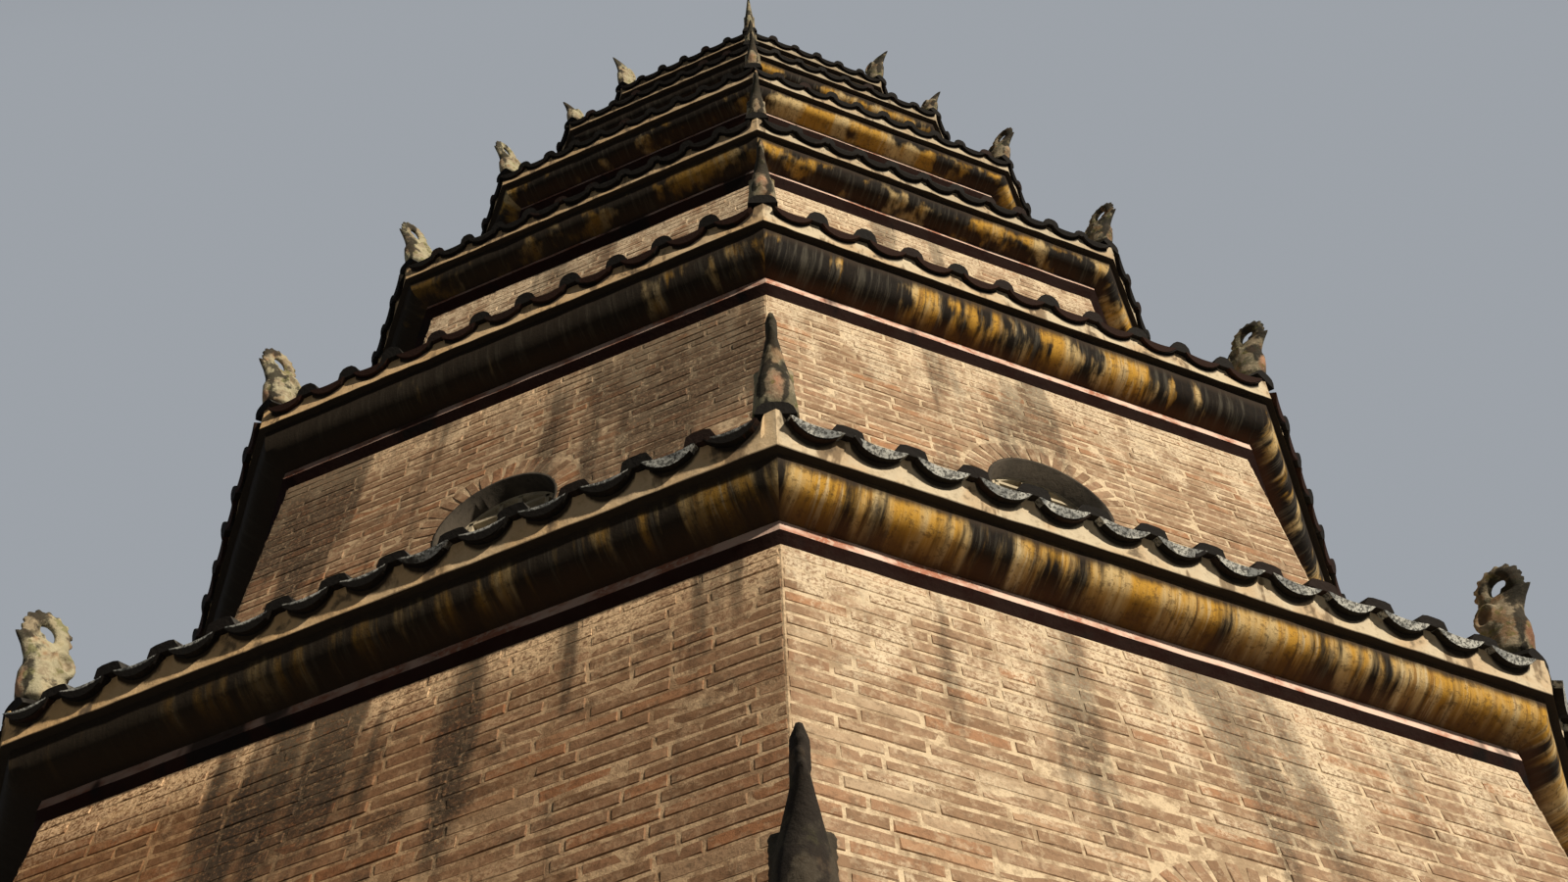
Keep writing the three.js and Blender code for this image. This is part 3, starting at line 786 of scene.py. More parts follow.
def latticeShape(storey):
    shape = bmesh.new()
    radius, width, thick = tower["windowRadius"], windows["barWidth"], windows["latticeThickness"]
    ringInner = radius - windows["ringWidth"]
    ringOuter = radius + windows["ringOverlap"]
    corners = [(ringInner, -thick / 2, 0), (ringOuter, -thick / 2, 0), (ringOuter, thick / 2, 0),
               (ringInner, thick / 2, 0)]
    sweep(shape, corners, (0, 1, 0), windows["revealSides"])
    bmesh.ops.recalc_face_normals(shape, faces=shape.faces)
    outer, inner = radius * windows["fretOuter"], radius * windows["fretInner"]
    reach = math.sqrt(ringInner ** 2 - (inner * 0.5) ** 2)
    for quarter in range(4):
        spun = Matrix.Rotation(quarter * math.pi / 2, 2)
        lines = [
            ((-outer, outer), (outer, outer)),
            ((-inner, inner), (inner, inner)),
            ((-inner * 0.5, outer), (-inner * 0.5, reach)),
            ((inner * 0.5, outer), (inner * 0.5, reach)),
            ((0, inner), (0, outer)),
            ((inner, inner), (inner, (inner + outer) / 2)),
        ]
        for fromPoint, toPoint in lines:
            addBar(shape, spun @ Vector(fromPoint), spun @ Vector(toPoint), width, thick)
    place = (0, -storey["apothem"] + windows["latticeDepth"], storey["windowHeight"])
    bmesh.ops.translate(shape, verts=shape.verts, vec=place)
    return toMesh(shape, "lattice", False)


for storey in storeys:
    faces = range(1, 8) if storey["number"] == 1 else range(8)
    spots = [spotOn(face, (0, 0, 0)) for face in faces]
    for part, shape, paint in (("reveals", revealShape(storey), revealPlaster),
                               ("lattices", latticeShape(storey), latticePlaster)):
        addScattered(f"storey_{storey['number']}_window_{part}", [shape], spots, paint)
print("windows made")


# cornices: the outline of each is swept round, then cut finely and made a little uneven
cornice = {
    "slabOut": 0.0336, "curveLean": 0.030, "curveBelly": 0.82, "curveSteps": 12, "cutLength": 0.07,
    "waviness": 0.0035, "waveScale": 6.0, "bearing": 0.15, "edgeBack": 0.004, "uvSpacing": 5.0,
    "level": 1e-4, "within": 0.001,  # how nearly level an edge is, and how nearly a face ends at a line
}


def corniceLines(storey):
    # how far the slab, the curve's upper end and the band stand out from the wall
    out = storey["eaveRadius"] * cornerFactor - storey["apothem"]
    return out, out - cornice["slabOut"], storey["bandOut"]


def corniceOutline(storey):
    out, curveTop, band = corniceLines(storey)
    level, foot, bandTop = storey["eaveLevel"], storey["foot"], storey["bandTop"]
    outline = [(0, foot), (band, foot + band)]
    ends = Vector((band, bandTop)), Vector((curveTop, level))
    belly = Vector((curveTop - cornice["curveLean"], level - cornice["curveBelly"] * (level - bandTop)))
    for step in range(cornice["curveSteps"] + 1):
        share = step / cornice["curveSteps"]
        outline.append((1 - share) ** 3 * ends[0] + 3 * share * (1 - share) * belly + share ** 3 * ends[1])
    top, inner = level + tower["slabHeight"], cornice["bearing"] - storey["thickness"]
    seat = min(foot, storey["top"])
    edge = out - cornice["edgeBack"]
    outline += [(edge, level), (edge, top), (inner, top), (inner, seat)]
    if seat < foot:
        outline.append((0, seat))
    return [((storey["apothem"] + across) / cornerFactor, height) for across, height in outline]


def mapMoulding(shape):
    # UV in metres: along the face, then out and up over the moulding
    layer = shape.loops.layers.uv.new("moulding")
    for face in shape.faces:
        middle = face.calc_center_median()
        side = round(math.atan2(middle.x, -middle.y) / faceTurn)
        for loop in face.loops:
            flat = turned(-side) @ loop.vert.co
            loop[layer].uv = (side * cornice["uvSpacing"] + flat.x, flat.z - flat.y)


def roughen(shape, amount, scale):
    bmesh.ops.recalc_face_normals(shape, faces=shape.faces)
    for vert in shape.verts:
        vert.co += vert.normal * amount * noise.noise(vert.co * scale)


def corniceMesh(storey):
    shape = spinOctagon(corniceOutline(storey))
    near = cornice["within"]
    for face in shape.faces:
        low, high = (limit(vert.co.z for vert in face.verts) for limit in (min, max))
        out = max(vert.co.xy.length for vert in face.verts) * cornerFactor - storey["apothem"]
        isPlug = high < storey["foot"] + near and out < near
        isBand = high < storey["bandTop"] + near and out < storey["bandOut"] + near
        isMoulding = high < storey["eaveLevel"] + near and low < storey["eaveLevel"] - near
        face.material_index = 3 if isPlug else 1 if isBand else 0 if isMoulding else 2
    around = []
    for edge in shape.edges:
        first, second = (vert.co for vert in edge.verts)
        if max(abs(first.xy.length - second.xy.length), abs(first.z - second.z)) < cornice["level"]:
            around.append(edge)
    cuts = int(storey["eaveRadius"] * 2 * math.sin(faceTurn / 2) / cornice["cutLength"])
    bmesh.ops.subdivide_edges(shape, edges=around, cuts=cuts, use_grid_fill=True)
    roughen(shape, cornice["waviness"], cornice["waveScale"])
    for face in shape.faces:
        face.smooth = True
    mapMoulding(shape)
    mesh = toMesh(shape, f"eave_{storey['number']}_moulding")
    mesh.set_sharp_from_angle(angle=math.radians(35))
    return mesh


# tiled skirts: pans with round undersides, cover tiles over their joints, and solid pan ends
skirt = {
    "laid": {(2, 0): (1.007, -0.013), (2, 1): (0.9936, -0.0235)},  # closeness and shift of a face's pans
    "lichen": {1: (0.35, 1.0), 2: (0.35, 1.0), 3: (0.0, 0.07)},
    "panWidth": 0.195, "panDepth": 0.048, "panThickness": 0.014, "tileLength": 0.19,
    "exposure": 0.13, "lift": 0.013, "endLength": 0.05, "endSag": 0.009, "endLimb": 0.010,
    "coverWidth": 0.126, "coverDepth": 0.038, "coverLift": 0.049, "coverBack": 0.002,
    "fasciaStep": 0.014, "fasciaDepth": 0.06, "fasciaRise": 0.086, "fasciaLean": 0.92,
    "cornerRise": 0.106, "cornerHalf": 0.095, "bedDrop": 0.006, "shift": 0.004, "tip": 0.012,
    "swing": 0.02, "cant": 0.015, "endProud": 0.004, "endDrop": 0.001, "endSize": (1.02, 1, 1.03),
    "coverFlatness": (2.6, 1.3), "fasciaMerge": 0.0015,
    "waves": {"face": (9, 0.004), "top": (13, 0.006), "foot": (5, 0.003)},  # noise scale and height
}
# the same by storey, from the ground up
skirtValues = {
    "panCount": [14, 13, 11, 11, 10, 8, 6], "rise": [0.055, 0.055, 0.065, 0.049, 0.066, 0.045, 0.045],
    "overhang": [0.041, 0.041, 0.017, 0.021, 0.012, 0.018, 0.018],
    "margin": [0.077, 0.077, 0.049, 0.049, -0.03, 0.0, 0.0],  # what the pans leave free on a face
    "coverSize": [(1, 1), (1, 1), (1, 1.5), (0.86, 1.2), (0.86, 1.2), (0.82, 1.15), (0.82, 1.15)],
}
for storey in storeys:
    giveValues(storey, skirtValues)
    storey["edgeRadius"] = storey["eaveRadius"] + storey["overhang"] / cornerFactor


def arcRadius(width, depth):
    return (width ** 2 / 4 + depth ** 2) / (2 * depth)


def segmentArc(shape, width, depth, steps, opensUp, level=0.0):
    # a round arc in the x-z plane with its chord level: the chord is its top where it opens upwards
    radius = arcRadius(width, depth)
    half = 2 * math.atan(2 * depth / width)
    hand = 1 if opensUp else -1
    middle = level + (radius if opensUp else depth - radius)
    count = len(shape.verts)
    start = shape.verts.new((-radius * math.sin(half), 0, middle - hand * radius * math.cos(half)))
    bmesh.ops.spin(shape, geom=[start], cent=(0, 0, middle), axis=(0, -hand, 0), dvec=(0, 0, 0),
                   angle=2 * half, steps=steps, use_merge=False, use_duplicate=False)
    shape.verts.ensure_lookup_table()
    return shape.verts[count:]


def pushBack(shape, parts, length):
    bmesh.ops.translate(shape, verts=[part for part in parts if isinstance(part, bmesh.types.BMVert)],
                        vec=(0, length, 0))


def panShape():
    shape = bmesh.new()
    segmentArc(shape, skirt["panWidth"], skirt["panDepth"], 6, True)
    pushBack(shape, bmesh.ops.extrude_edge_only(shape, edges=shape.edges[:])["geom"], skirt["tileLength"])
    bmesh.ops.recalc_face_normals(shape, faces=shape.faces)
    if shape.faces[0].normal.z < 0:
        bmesh.ops.reverse_faces(shape, faces=shape.faces)
    bmesh.ops.solidify(shape, geom=shape.faces[:], thickness=-skirt["panThickness"])
    return toMesh(shape, "pan")


def segmentBar(width, depth, length, steps, flatness=1.5):
    # a bar with a rounded back, flattened towards its top
    shape = bmesh.new()
    for vert in segmentArc(shape, width, depth, steps, False):
        vert.co.z = depth * (1 - max(0.0, 1 - vert.co.z / depth) ** flatness)
    bmesh.ops.contextual_create(shape, geom=shape.edges[:])
    pushBack(shape, bmesh.ops.extrude_face_region(shape, geom=shape.faces[:])["geom"], length)
    return toMesh(shape, "bar")


def panEndShape():
    # the thick lip of an eave pan: a crescent whose hollow top edge is marked as its rim
    shape = bmesh.new()
    rim = shape.verts.layers.float.new("rim")
    width, depth, sag = skirt["panWidth"], skirt["panDepth"], skirt["endSag"]
    outer = segmentArc(shape, width, depth, 8, True)
    inner = segmentArc(shape, width - 2 * skirt["endLimb"], sag, 6, True, depth - sag)
    for vert in inner:
        vert[rim] = 1.0
    shape.edges.new((outer[0], inner[0]))
    shape.edges.new((outer[-1], inner[-1]))
    bmesh.ops.contextual_create(shape, geom=shape.edges[:])
    pushBack(shape, bmesh.ops.extrude_face_region(shape, geom=shape.faces[:])["geom"], skirt["endLength"])
    bmesh.ops.triangulate(shape, faces=[face for face in shape.faces if len(face.verts) > 4])
    return toMesh(shape, "panEnd")


def skirtLines(storey):
    # the fascia's apothem, the tiles' tilt, the pans' number and their places across a face
    fascia = storey["eaveRadius"] * cornerFactor
    tilt = math.atan(storey["slope"] / cornerFactor)
    front = fascia + storey["overhang"]
    width = 2 * front * cornerTangent
    count = storey["panCount"]
    pitch = (width - storey["margin"]) / count
    centres = [(number - (count - 1) / 2) * pitch for number in range(count)]
    joints = [(number - count / 2 + 1) * pitch for number in range(count - 1)]
    return fascia, tilt, front, centres, joints


def layTiles(storey):
    fascia, tilt, front, centres, joints = skirtLines(storey)
    inner = storey["skirtInner"] * cornerFactor
    rows = int((front - inner) / math.cos(tilt) / skirt["exposure"]) + 1
    lean = tilt - math.asin(skirt["lift"] / skirt["tileLength"])
    spots, ends = [], []
    for face in range(8):
        share, aside = skirt["laid"].get((storey["number"], face), (1.0, 0.0))
        laid = [[place * share + aside for place in places] for places in (centres, joints)]
        for across, kind in [*((x, 0) for x in laid[0]), *((x, 1) for x in laid[1])]:
            for row in range(rows):
                along = row * skirt["exposure"] + (skirt["coverBack"] if kind else 0)
                lift = (skirt["lift"] if row else 0) + (skirt["coverLift"] if kind else 0)
                reach = front - along * math.cos(tilt) + lift * math.sin(tilt)
                if reach - skirt["exposure"] * 0.5 < inner or abs(across) > (reach - 0.02) * cornerTangent:
                    break
                level = storey["eaveLevel"] + storey["rise"] + along * math.sin(tilt) + lift * math.cos(tilt)
                shift = skirt["shift"]
                place = (across + chance.uniform(-shift, shift),
                         -reach + chance.uniform(-shift, shift), level)
                turn = ((lean if row else tilt) + chance.gauss(0, skirt["tip"]),
                        chance.gauss(0, skirt["swing"]), chance.gauss(0, skirt["cant"]))
                wide, tall = storey["coverSize"] if kind else (1, 1)
                size = (wide * chance.uniform(0.95, 1.04), 1, tall * chance.uniform(0.86, 1.14))
                shape = kind if storey["number"] < 3 else kind * 2
                spots.append(spotOn(face, place, turn, size if kind else (1, 1, size[2] ** 0.4), shape,
                                    chance.random()))
        for across in laid[0]:
            place = (across + chance.uniform(-0.003, 0.003), -front - skirt["endProud"],
                     storey["eaveLevel"] + storey["rise"] - skirt["endDrop"])
            low, high = skirt["lichen"].get(storey["number"], (0.10, 0.13))
            lichen = chance.uniform(low, high)
            turn = (tilt, chance.gauss(0, skirt["swing"]), 0)
            ends.append(spotOn(face, place, turn, skirt["endSize"], 0, lichen))
    return spots, ends


def bedMesh(storey):
    # the plaster that the pans lie in, closed down to the slab
    fascia, tilt, front, centres, joints = skirtLines(storey)
    inner = storey["skirtInner"] + 0.001
    edge = (fascia - 0.01) / cornerFactor
    rise = storey["eaveLevel"] + storey["rise"] - skirt["bedDrop"]
    outline = [(inner, storey["eaveLevel"] + tower["slabHeight"] + 0.001),
               (edge, storey["eaveLevel"] + tower["slabHeight"] + 0.001),
               (edge, rise + storey["slope"] * (front / cornerFactor - edge)),
               (inner, rise + storey["slope"] * (front / cornerFactor - inner))]
    return toMesh(spinOctagon(outline), "bed")


def fasciaTop(storey, lines, face, across, half):
    # the plaster's upper edge: round the pans' undersides, up between them, and up at the corner
    fascia, tilt, front, centres, joints = lines
    share, shift = skirt["laid"].get((storey["number"], face), (1.0, 0.0))
    pan = arcRadius(skirt["panWidth"], skirt["panDepth"])
    base = storey["rise"] + storey["overhang"] * math.tan(tilt)
    offset = min(abs(across - centre * share - shift) for centre in centres)
    toCorner = (half - abs(across)) / skirt["cornerHalf"]
    top = skirt["fasciaRise"]
    if toCorner < 1:
        top += (skirt["cornerRise"] - skirt["fasciaRise"]) * (1 - toCorner ** 2)
    top += storey["rise"]
    isUnderPan = offset < skirt["panWidth"] / 2
    if isUnderPan:
        top = min(top, base + (pan - math.sqrt(pan ** 2 - offset ** 2)) / math.cos(tilt) - 0.004)
    return top, isUnderPan


def fasciaMesh(storey):
    lines = skirtLines(storey)
    fascia = lines[0]
    half = fascia * cornerTangent
    columns = 2 * int(half / skirt["fasciaStep"])
    shape = bmesh.new()
    below = shape.verts.layers.float.new("below")
    for face in range(8):
        made = bmesh.ops.create_grid(shape, x_segments=columns, y_segments=4, size=1.0)["verts"]
        spun = turned(face)
        for vert in made:
            share, row = vert.co.x, round((vert.co.y + 1) * 2)
            top, isUnderPan = fasciaTop(storey, lines, face, share * half, half)
            # how far below the plaster's top edge a point lies, which drives the painted shadow under the
            # pans
            vert[below] = top * (1.0, 1.0, 0.5, 0.0, 0.0)[row] + (0.0 if isUnderPan else 0.05)
            lean = skirt["fasciaLean"] * storey["overhang"] * clamp((top - storey["rise"]) / 0.06)
            reach = fascia + lean * (0.0, 0.0, 0.3, 1.0, 1.0)[row]
            reach -= skirt["fasciaDepth"] if row in (0, 4) else 0.0
            level = storey["eaveLevel"] + top * (0.0, 0.0, 0.5, 1.0, 1.0)[row] + (0.012 if row == 0 else 0)
            flat = Vector((share * reach * cornerTangent, -reach, level))
            ends = min(1.0, (1 - abs(share)) * 12)
            scale, amount = skirt["waves"]["face"]
            flat.y += ends * noise.noise((spun @ flat) * scale) * amount
            scale, amount = skirt["waves"]["top" if row > 2 else "foot"]
            flat.z += noise.noise((spun @ flat) * scale) * amount
            vert.co = spun @ flat
    bmesh.ops.remove_doubles(shape, verts=shape.verts, dist=skirt["fasciaMerge"])
    bmesh.ops.recalc_face_normals(shape, faces=shape.faces)
    for face in shape.faces:
        face.smooth = True
    mesh = toMesh(shape, f"eave_{storey['number']}_fascia")
    mesh.set_sharp_from_angle(angle=math.radians(40))
    return mesh


def joinMeshes(name, meshes):
    shape = bmesh.new()
    for mesh in meshes:
        shape.from_mesh(mesh)
    return toMesh(shape, name, False)


tileShapes = [panShape()]
for flatness in skirt["coverFlatness"]:
    tileShapes.append(segmentBar(skirt["coverWidth"], skirt["coverDepth"], skirt["tileLength"], 6, flatness))
endShapes = [panEndShape()]
for storey in storeys:
    number = storey["number"]
    materials = [ochreMaterial(storey), bandMaterial(storey), creamMaterial(storey)]
    addPiece(f"eave_{number}_moulding", corniceMesh(storey), [*materials, storey["mortar"]],
             [f"eave_{number}_cornice"])
    addPiece(f"eave_{number}_plaster_edge", fasciaMesh(storey), [materials[2]])
    spots, ends = layTiles(storey)
    skirtNode = "roof_tiles" if number == 7 else f"eave_{number}_tiles"
    addScattered(f"eave_{number}_tile_rows", tileShapes, spots, tilePaint, [skirtNode])
    addScattered(f"eave_{number}_tile_ends", endShapes, ends, tileEndPaint)
print("eaves tiled")


# hips: a plastered ridge of overlapping cap tiles along each corner
hips = {
    "width": 0.128, "height": 0.042, "base": 0.090, "length": 0.24, "exposure": 0.20, "lift": 0.010,
    "front": -0.020, "ridgeWidth": 0.09, "ridgeHeight": 0.082, "ridgeBack": 0.075, "capSpread": 1.12,
    "capRise": 1.15, "waviness": 0.004, "waveScale": 5.0,
    # the collar at the wall above, outwards from it and up from the tiles
    "collar": [(0, -0.05), (0.09, -0.05), (0.07, 0.04), (0.0315, 0.0825), (0, 0.11)],
}


def layHips(storey):
    tilt = math.atan(storey["slope"])
    front = storey["edgeRadius"]
    start = storey["eaveRadius"] + hips["front"]
    spots = []
    rows = int((start - storey["skirtInner"]) / math.cos(tilt) / hips["exposure"]) + 1
    for corner in range(8):
        for row in range(rows):
            along = (front - start) / math.cos(tilt) + row * hips["exposure"]
            lift = hips["base"] + (hips["lift"] if row else 0)
            reach = front - along * math.cos(tilt) + lift * math.sin(tilt)
            level = storey["eaveLevel"] + storey["rise"] + along * math.sin(tilt) + lift * math.cos(tilt)
            if reach < storey["skirtInner"]:
                break
            lean = tilt - (math.asin(hips["lift"] / hips["length"]) if row else 0)
            spots.append(spotOn(corner + 0.5, (0, -reach, level), (lean, chance.gauss(0, 0.01), 0),
                                (chance.uniform(0.97, 1.03) * (1 if row else hips["capSpread"]), 1,
                                 1 if row else hips["capRise"]), 0, chance.random() * 0.6))
    return spots


def collarMesh(storey):
    inner = storey["skirtInner"] + 0.001
    front = storey["edgeRadius"]
    foot = storey["eaveLevel"] + storey["rise"] + storey["slope"] * (front - inner)
    shape = spinOctagon([(inner + out, foot + up) for out, up in hips["collar"]])
    roughen(shape, hips["waviness"], hips["waveScale"])
    return toMesh(shape, "collar")


def ridgeMesh(storey):
    # the plaster body of each hip, under its cap tiles
    tilt = math.atan(storey["slope"])
    reach = storey["eaveRadius"] - hips["ridgeBack"]
    length = (reach - storey["skirtInner"]) / math.cos(tilt)
    front = storey["edgeRadius"]
    foot = storey["eaveLevel"] + storey["rise"] + storey["slope"] * (front - reach)
    shape = bmesh.new()
    for corner in range(8):
        bar = bmesh.ops.create_cube(shape, size=1.0)["verts"]
        bmesh.ops.scale(shape, verts=bar, vec=(hips["ridgeWidth"], length, hips["ridgeHeight"]))
        bmesh.ops.translate(shape, verts=bar, vec=(0, length / 2, hips["ridgeHeight"] / 2))
        bmesh.ops.rotate(shape, verts=bar, cent=(0, 0, 0), matrix=Matrix.Rotation(tilt, 3, "X"))
        bmesh.ops.translate(shape, verts=bar, vec=(0, -reach, foot))
        bmesh.ops.rotate(shape, verts=bar, cent=(0, 0, 0), matrix=turned(corner + 0.5))
    return toMesh(shape, "ridge")


hipShapes = [segmentBar(hips["width"], hips["height"], hips["length"], 8, 1.8)]
for storey in storeys:
    addScattered(f"eave_{storey['number']}_hip_tiles", hipShapes, layHips(storey), tilePaint)
    name = f"eave_{storey['number']}_tile_bed"
    beds = joinMeshes(name, [bedMesh(storey), ridgeMesh(storey), collarMesh(storey)])
    addPiece(name, beds, [bedPlaster])
print("hips laid")


# ornaments: a bird's head looking up and outwards, with a round breast, a scroll and a beaded crest;
# its sizes are outwards and up from the slab's lower corner, and its foot is where the CAD's is
bird = {
    "foot": 0.25,
    "slices": [  # height, back, front, half width
        (0.120, -0.130, -0.040, 0.060), (0.232, -0.124, -0.030, 0.064), (0.246, -0.124, 0.026, 0.088),
        (0.285, -0.122, 0.048, 0.085), (0.330, -0.118, 0.066, 0.080), (0.385, -0.112, 0.080, 0.073),
        (0.430, -0.108, 0.078, 0.066), (0.465, -0.107, 0.090, 0.058), (0.510, -0.104, 0.124, 0.044),
        (0.550, -0.080, 0.168, 0.026), (0.558, -0.070, 0.135, 0.024), (0.570, -0.045, 0.100, 0.020),
        (0.584, -0.020, 0.065, 0.012),
    ],
    "breast": {"middle": (0.020, 0.335), "size": (0.043, 0.050, 0.090), "taper": 0.42, "lean": 0.30},
    "scroll": {"middle": (-0.046, 0.462), "size": (0.054, 0.034), "lean": 0.9, "tube": 0.015,
               "aside": 0.055},
    "crest": [(-0.012, 0.574), (-0.018, 0.602), (-0.014, 0.630), (-0.002, 0.656), (0.018, 0.678),
              (0.044, 0.690), (0.072, 0.690), (0.098, 0.678), (0.114, 0.656), (0.118, 0.632),
              (0.114, 0.608), (0.110, 0.588)],
    "knob": (0.066, 0.590, 0.020), "crestMiddle": (0.050, 0.634),
    "bead": (0.033, 0.024), "spike": 0.013, "beakTip": (0.167, 0.550), "voxel": 0.0075, "keep": 0.16,
    "marks": {  # where the breast is pink, where painted shade lies in its crease, and where soot lies on the beak and in front
        "blushReach": 1.15, "blushFade": 0.2, "creaseReach": 1.28, "creaseWidth": 0.22, "creaseBack": 0.03,
        "creaseShade": 0.55, "beakReach": 0.040, "beakFade": 0.02, "frontFrom": 0.02, "frontFade": 0.04,
        "frontSoot": 0.36,
    },
    "looks": {6: (0.80, 0.85), 7: (1.10, 1.75)},  # the plain birds' depth and height
    "across": [1.0, 1.0, 0.90, 0.80, 0.80, 0.75, 0.75], "pinkness": [0.0, 1.0, 0.75, 0.58, 0.55, 0.3, 0.3],
}


def addBall(shape, middle, size, lean=0.0, taper=0.0):
    ball = bmesh.ops.create_uvsphere(shape, u_segments=16, v_segments=10, radius=1.0)["verts"]
    for vert in ball:
        narrow = 1 - taper * max(0.0, vert.co.z) ** 1.5
        vert.co.x *= narrow
        vert.co.y *= narrow
    bmesh.ops.scale(shape, verts=ball, vec=size)
    bmesh.ops.rotate(shape, verts=ball, cent=(0, 0, 0), matrix=Matrix.Rotation(lean, 3, "X"))
    bmesh.ops.translate(shape, verts=ball, vec=middle)
    return ball


def birdShape(isCrested):
    shape = bmesh.new()
    loops = []
    for height, back, front, half in bird["slices"]:
        ring = bmesh.ops.create_circle(shape, segments=20, radius=1.0)["verts"]
        bmesh.ops.scale(shape, verts=ring, vec=(half, (front - back) / 2, 1))
        bmesh.ops.translate(shape, verts=ring, vec=(0, -(front + back) / 2, height - bird["foot"]))
        loops.append({edge for vert in ring for edge in vert.link_edges})
    for low, high in zip(loops, loops[1:]):
        bmesh.ops.bridge_loops(shape, edges=[*low, *high])
    bmesh.ops.contextual_create(shape, geom=[*loops[0]])
    bmesh.ops.contextual_create(shape, geom=[*loops[-1]])
    out, up = bird["breast"]["middle"]
    addBall(shape, (0, -out, up - bird["foot"]), bird["breast"]["size"], bird["breast"]["lean"],
            bird["breast"]["taper"])
    out, up = bird["scroll"]["middle"]
    for side in (-1, 1):
        for step in range(14):
            angle = math.tau * step / 14
            along, over = (size * part for size, part in zip(bird["scroll"]["size"],
                                                             (math.cos(angle), math.sin(angle))))
            lean = bird["scroll"]["lean"]
            place = (side * bird["scroll"]["aside"],
                     -(out + along * math.cos(lean) - over * math.sin(lean)),
                     up + along * math.sin(lean) + over * math.cos(lean) - bird["foot"])
            addBall(shape, place, [bird["scroll"]["tube"] * size for size in (1.5, 1, 1)])
    if isCrested:
        radius, half = bird["bead"]
        for number, (out, up) in enumerate(bird["crest"]):
            addBall(shape, (0, -out, up - bird["foot"]), (half, radius, radius))
            inside, under = bird["crestMiddle"]
            away = Vector((0, inside - out, up - under)).normalized() * radius
            addBall(shape, Vector((0, -out, up - bird["foot"])) + away, [bird["spike"]] * 3)
        out, up, radius = bird["knob"]
        addBall(shape, (0, -out, up - bird["foot"]), (radius * 0.7, radius, radius))
    bmesh.ops.recalc_face_normals(shape, faces=shape.faces)
    rough = toMesh(shape, "birdParts")
    holder = bpy.data.objects.new("birdHolder", rough)
    scene.collection.objects.link(holder)
    remesh = holder.modifiers.new("remesh", "REMESH")
    remesh.mode = "VOXEL"
    remesh.voxel_size = bird["voxel"]
    smooth = holder.modifiers.new("smooth", "SMOOTH")
    smooth.iterations = 2
    reduce = holder.modifiers.new("reduce", "DECIMATE")
    reduce.ratio = bird["keep"]
    depsgraph = bpy.context.evaluated_depsgraph_get()
    mesh = bpy.data.meshes.new_from_object(holder.evaluated_get(depsgraph), depsgraph=depsgraph)
    bpy.data.objects.remove(holder)
    out, up = bird["breast"]["middle"]
    breast, extent = Vector((0, -out, up - bird["foot"])), bird["breast"]["size"]
    tip = Vector((0, -bird["beakTip"][0], bird["beakTip"][1] - bird["foot"]))
    marks = bird["marks"]
    blush = mesh.attributes.new("blush", "FLOAT", "POINT")
    soot = mesh.attributes.new("soot", "FLOAT", "POINT")
    for number, vert in enumerate(mesh.vertices):
        off = Matrix.Rotation(-bird["breast"]["lean"], 3, "X") @ (vert.co - breast)
        reach = Vector([part / size for part, size in zip(off, extent)]).length
        blush.data[number].value = clamp((marks["blushReach"] - reach) / marks["blushFade"])
        # painted shade: a dark ring in the crease round the breast
        crease = max(0.0, 1 - abs(reach - marks["creaseReach"]) / marks["creaseWidth"])
        crease *= 1.0 if off.y < marks["creaseBack"] else 0.0
        beak = (marks["beakReach"] - (vert.co - tip).length) / marks["beakFade"]
        front = clamp((-vert.co.y - marks["frontFrom"]) / marks["frontFade"])
        front *= 1 - blush.data[number].value
        soot.data[number].value = clamp(max(beak, crease * marks["creaseShade"], front * marks["frontSoot"]))
    mesh.shade_smooth()
    return mesh


birdShapes = [birdShape(True), birdShape(False)]
for storey in storeys:
    number = storey["number"]
    spread, stretch = bird["looks"].get(number, (1.0, 1.0))
    spots = []
    for corner in range(8):
        place = (0, -storey["eaveRadius"], storey["eaveLevel"] + bird["foot"])
        size = (bird["across"][number - 1] * chance.uniform(0.95, 1.0), spread,
                stretch * chance.uniform(0.985, 1.0))
        spots.append(spotOn(corner + 0.5, place, (0, 0, chance.gauss(0, 0.02)), size,
                            int(number in bird["looks"]), bird["pinkness"][number - 1]))
    addScattered(f"eave_{number}_ornaments", birdShapes, spots, mouldedPaint,
                 [f"eave_{number}_hips_and_ornaments"])
print("ornaments set")


# base: stone steps of dressed blocks round a core
steps = {
    "depth": 0.42, "length": 0.82, "joint": 0.008, "bevel": 0.014, "coreDrop": 0.003, "coreBack": 0.012,
    "gap": 0.002, "cutShift": 0.06, "heights": (0.985, 1.0),
}


def stepBlock(height):
    shape = bmesh.new()
    bmesh.ops.create_cube(shape, size=1.0)
    size = (1, steps["depth"] - 2 * steps["gap"], height - steps["gap"])
    bmesh.ops.scale(shape, verts=shape.verts, vec=size)
    bmesh.ops.translate(shape, verts=shape.verts, vec=(0, steps["depth"] / 2 + steps["gap"], 0))
    bmesh.ops.bevel(shape, geom=shape.edges[:], offset=steps["bevel"], affect="EDGES", segments=2,
                    profile=0.5, material=-1)
    return toMesh(shape, "block")


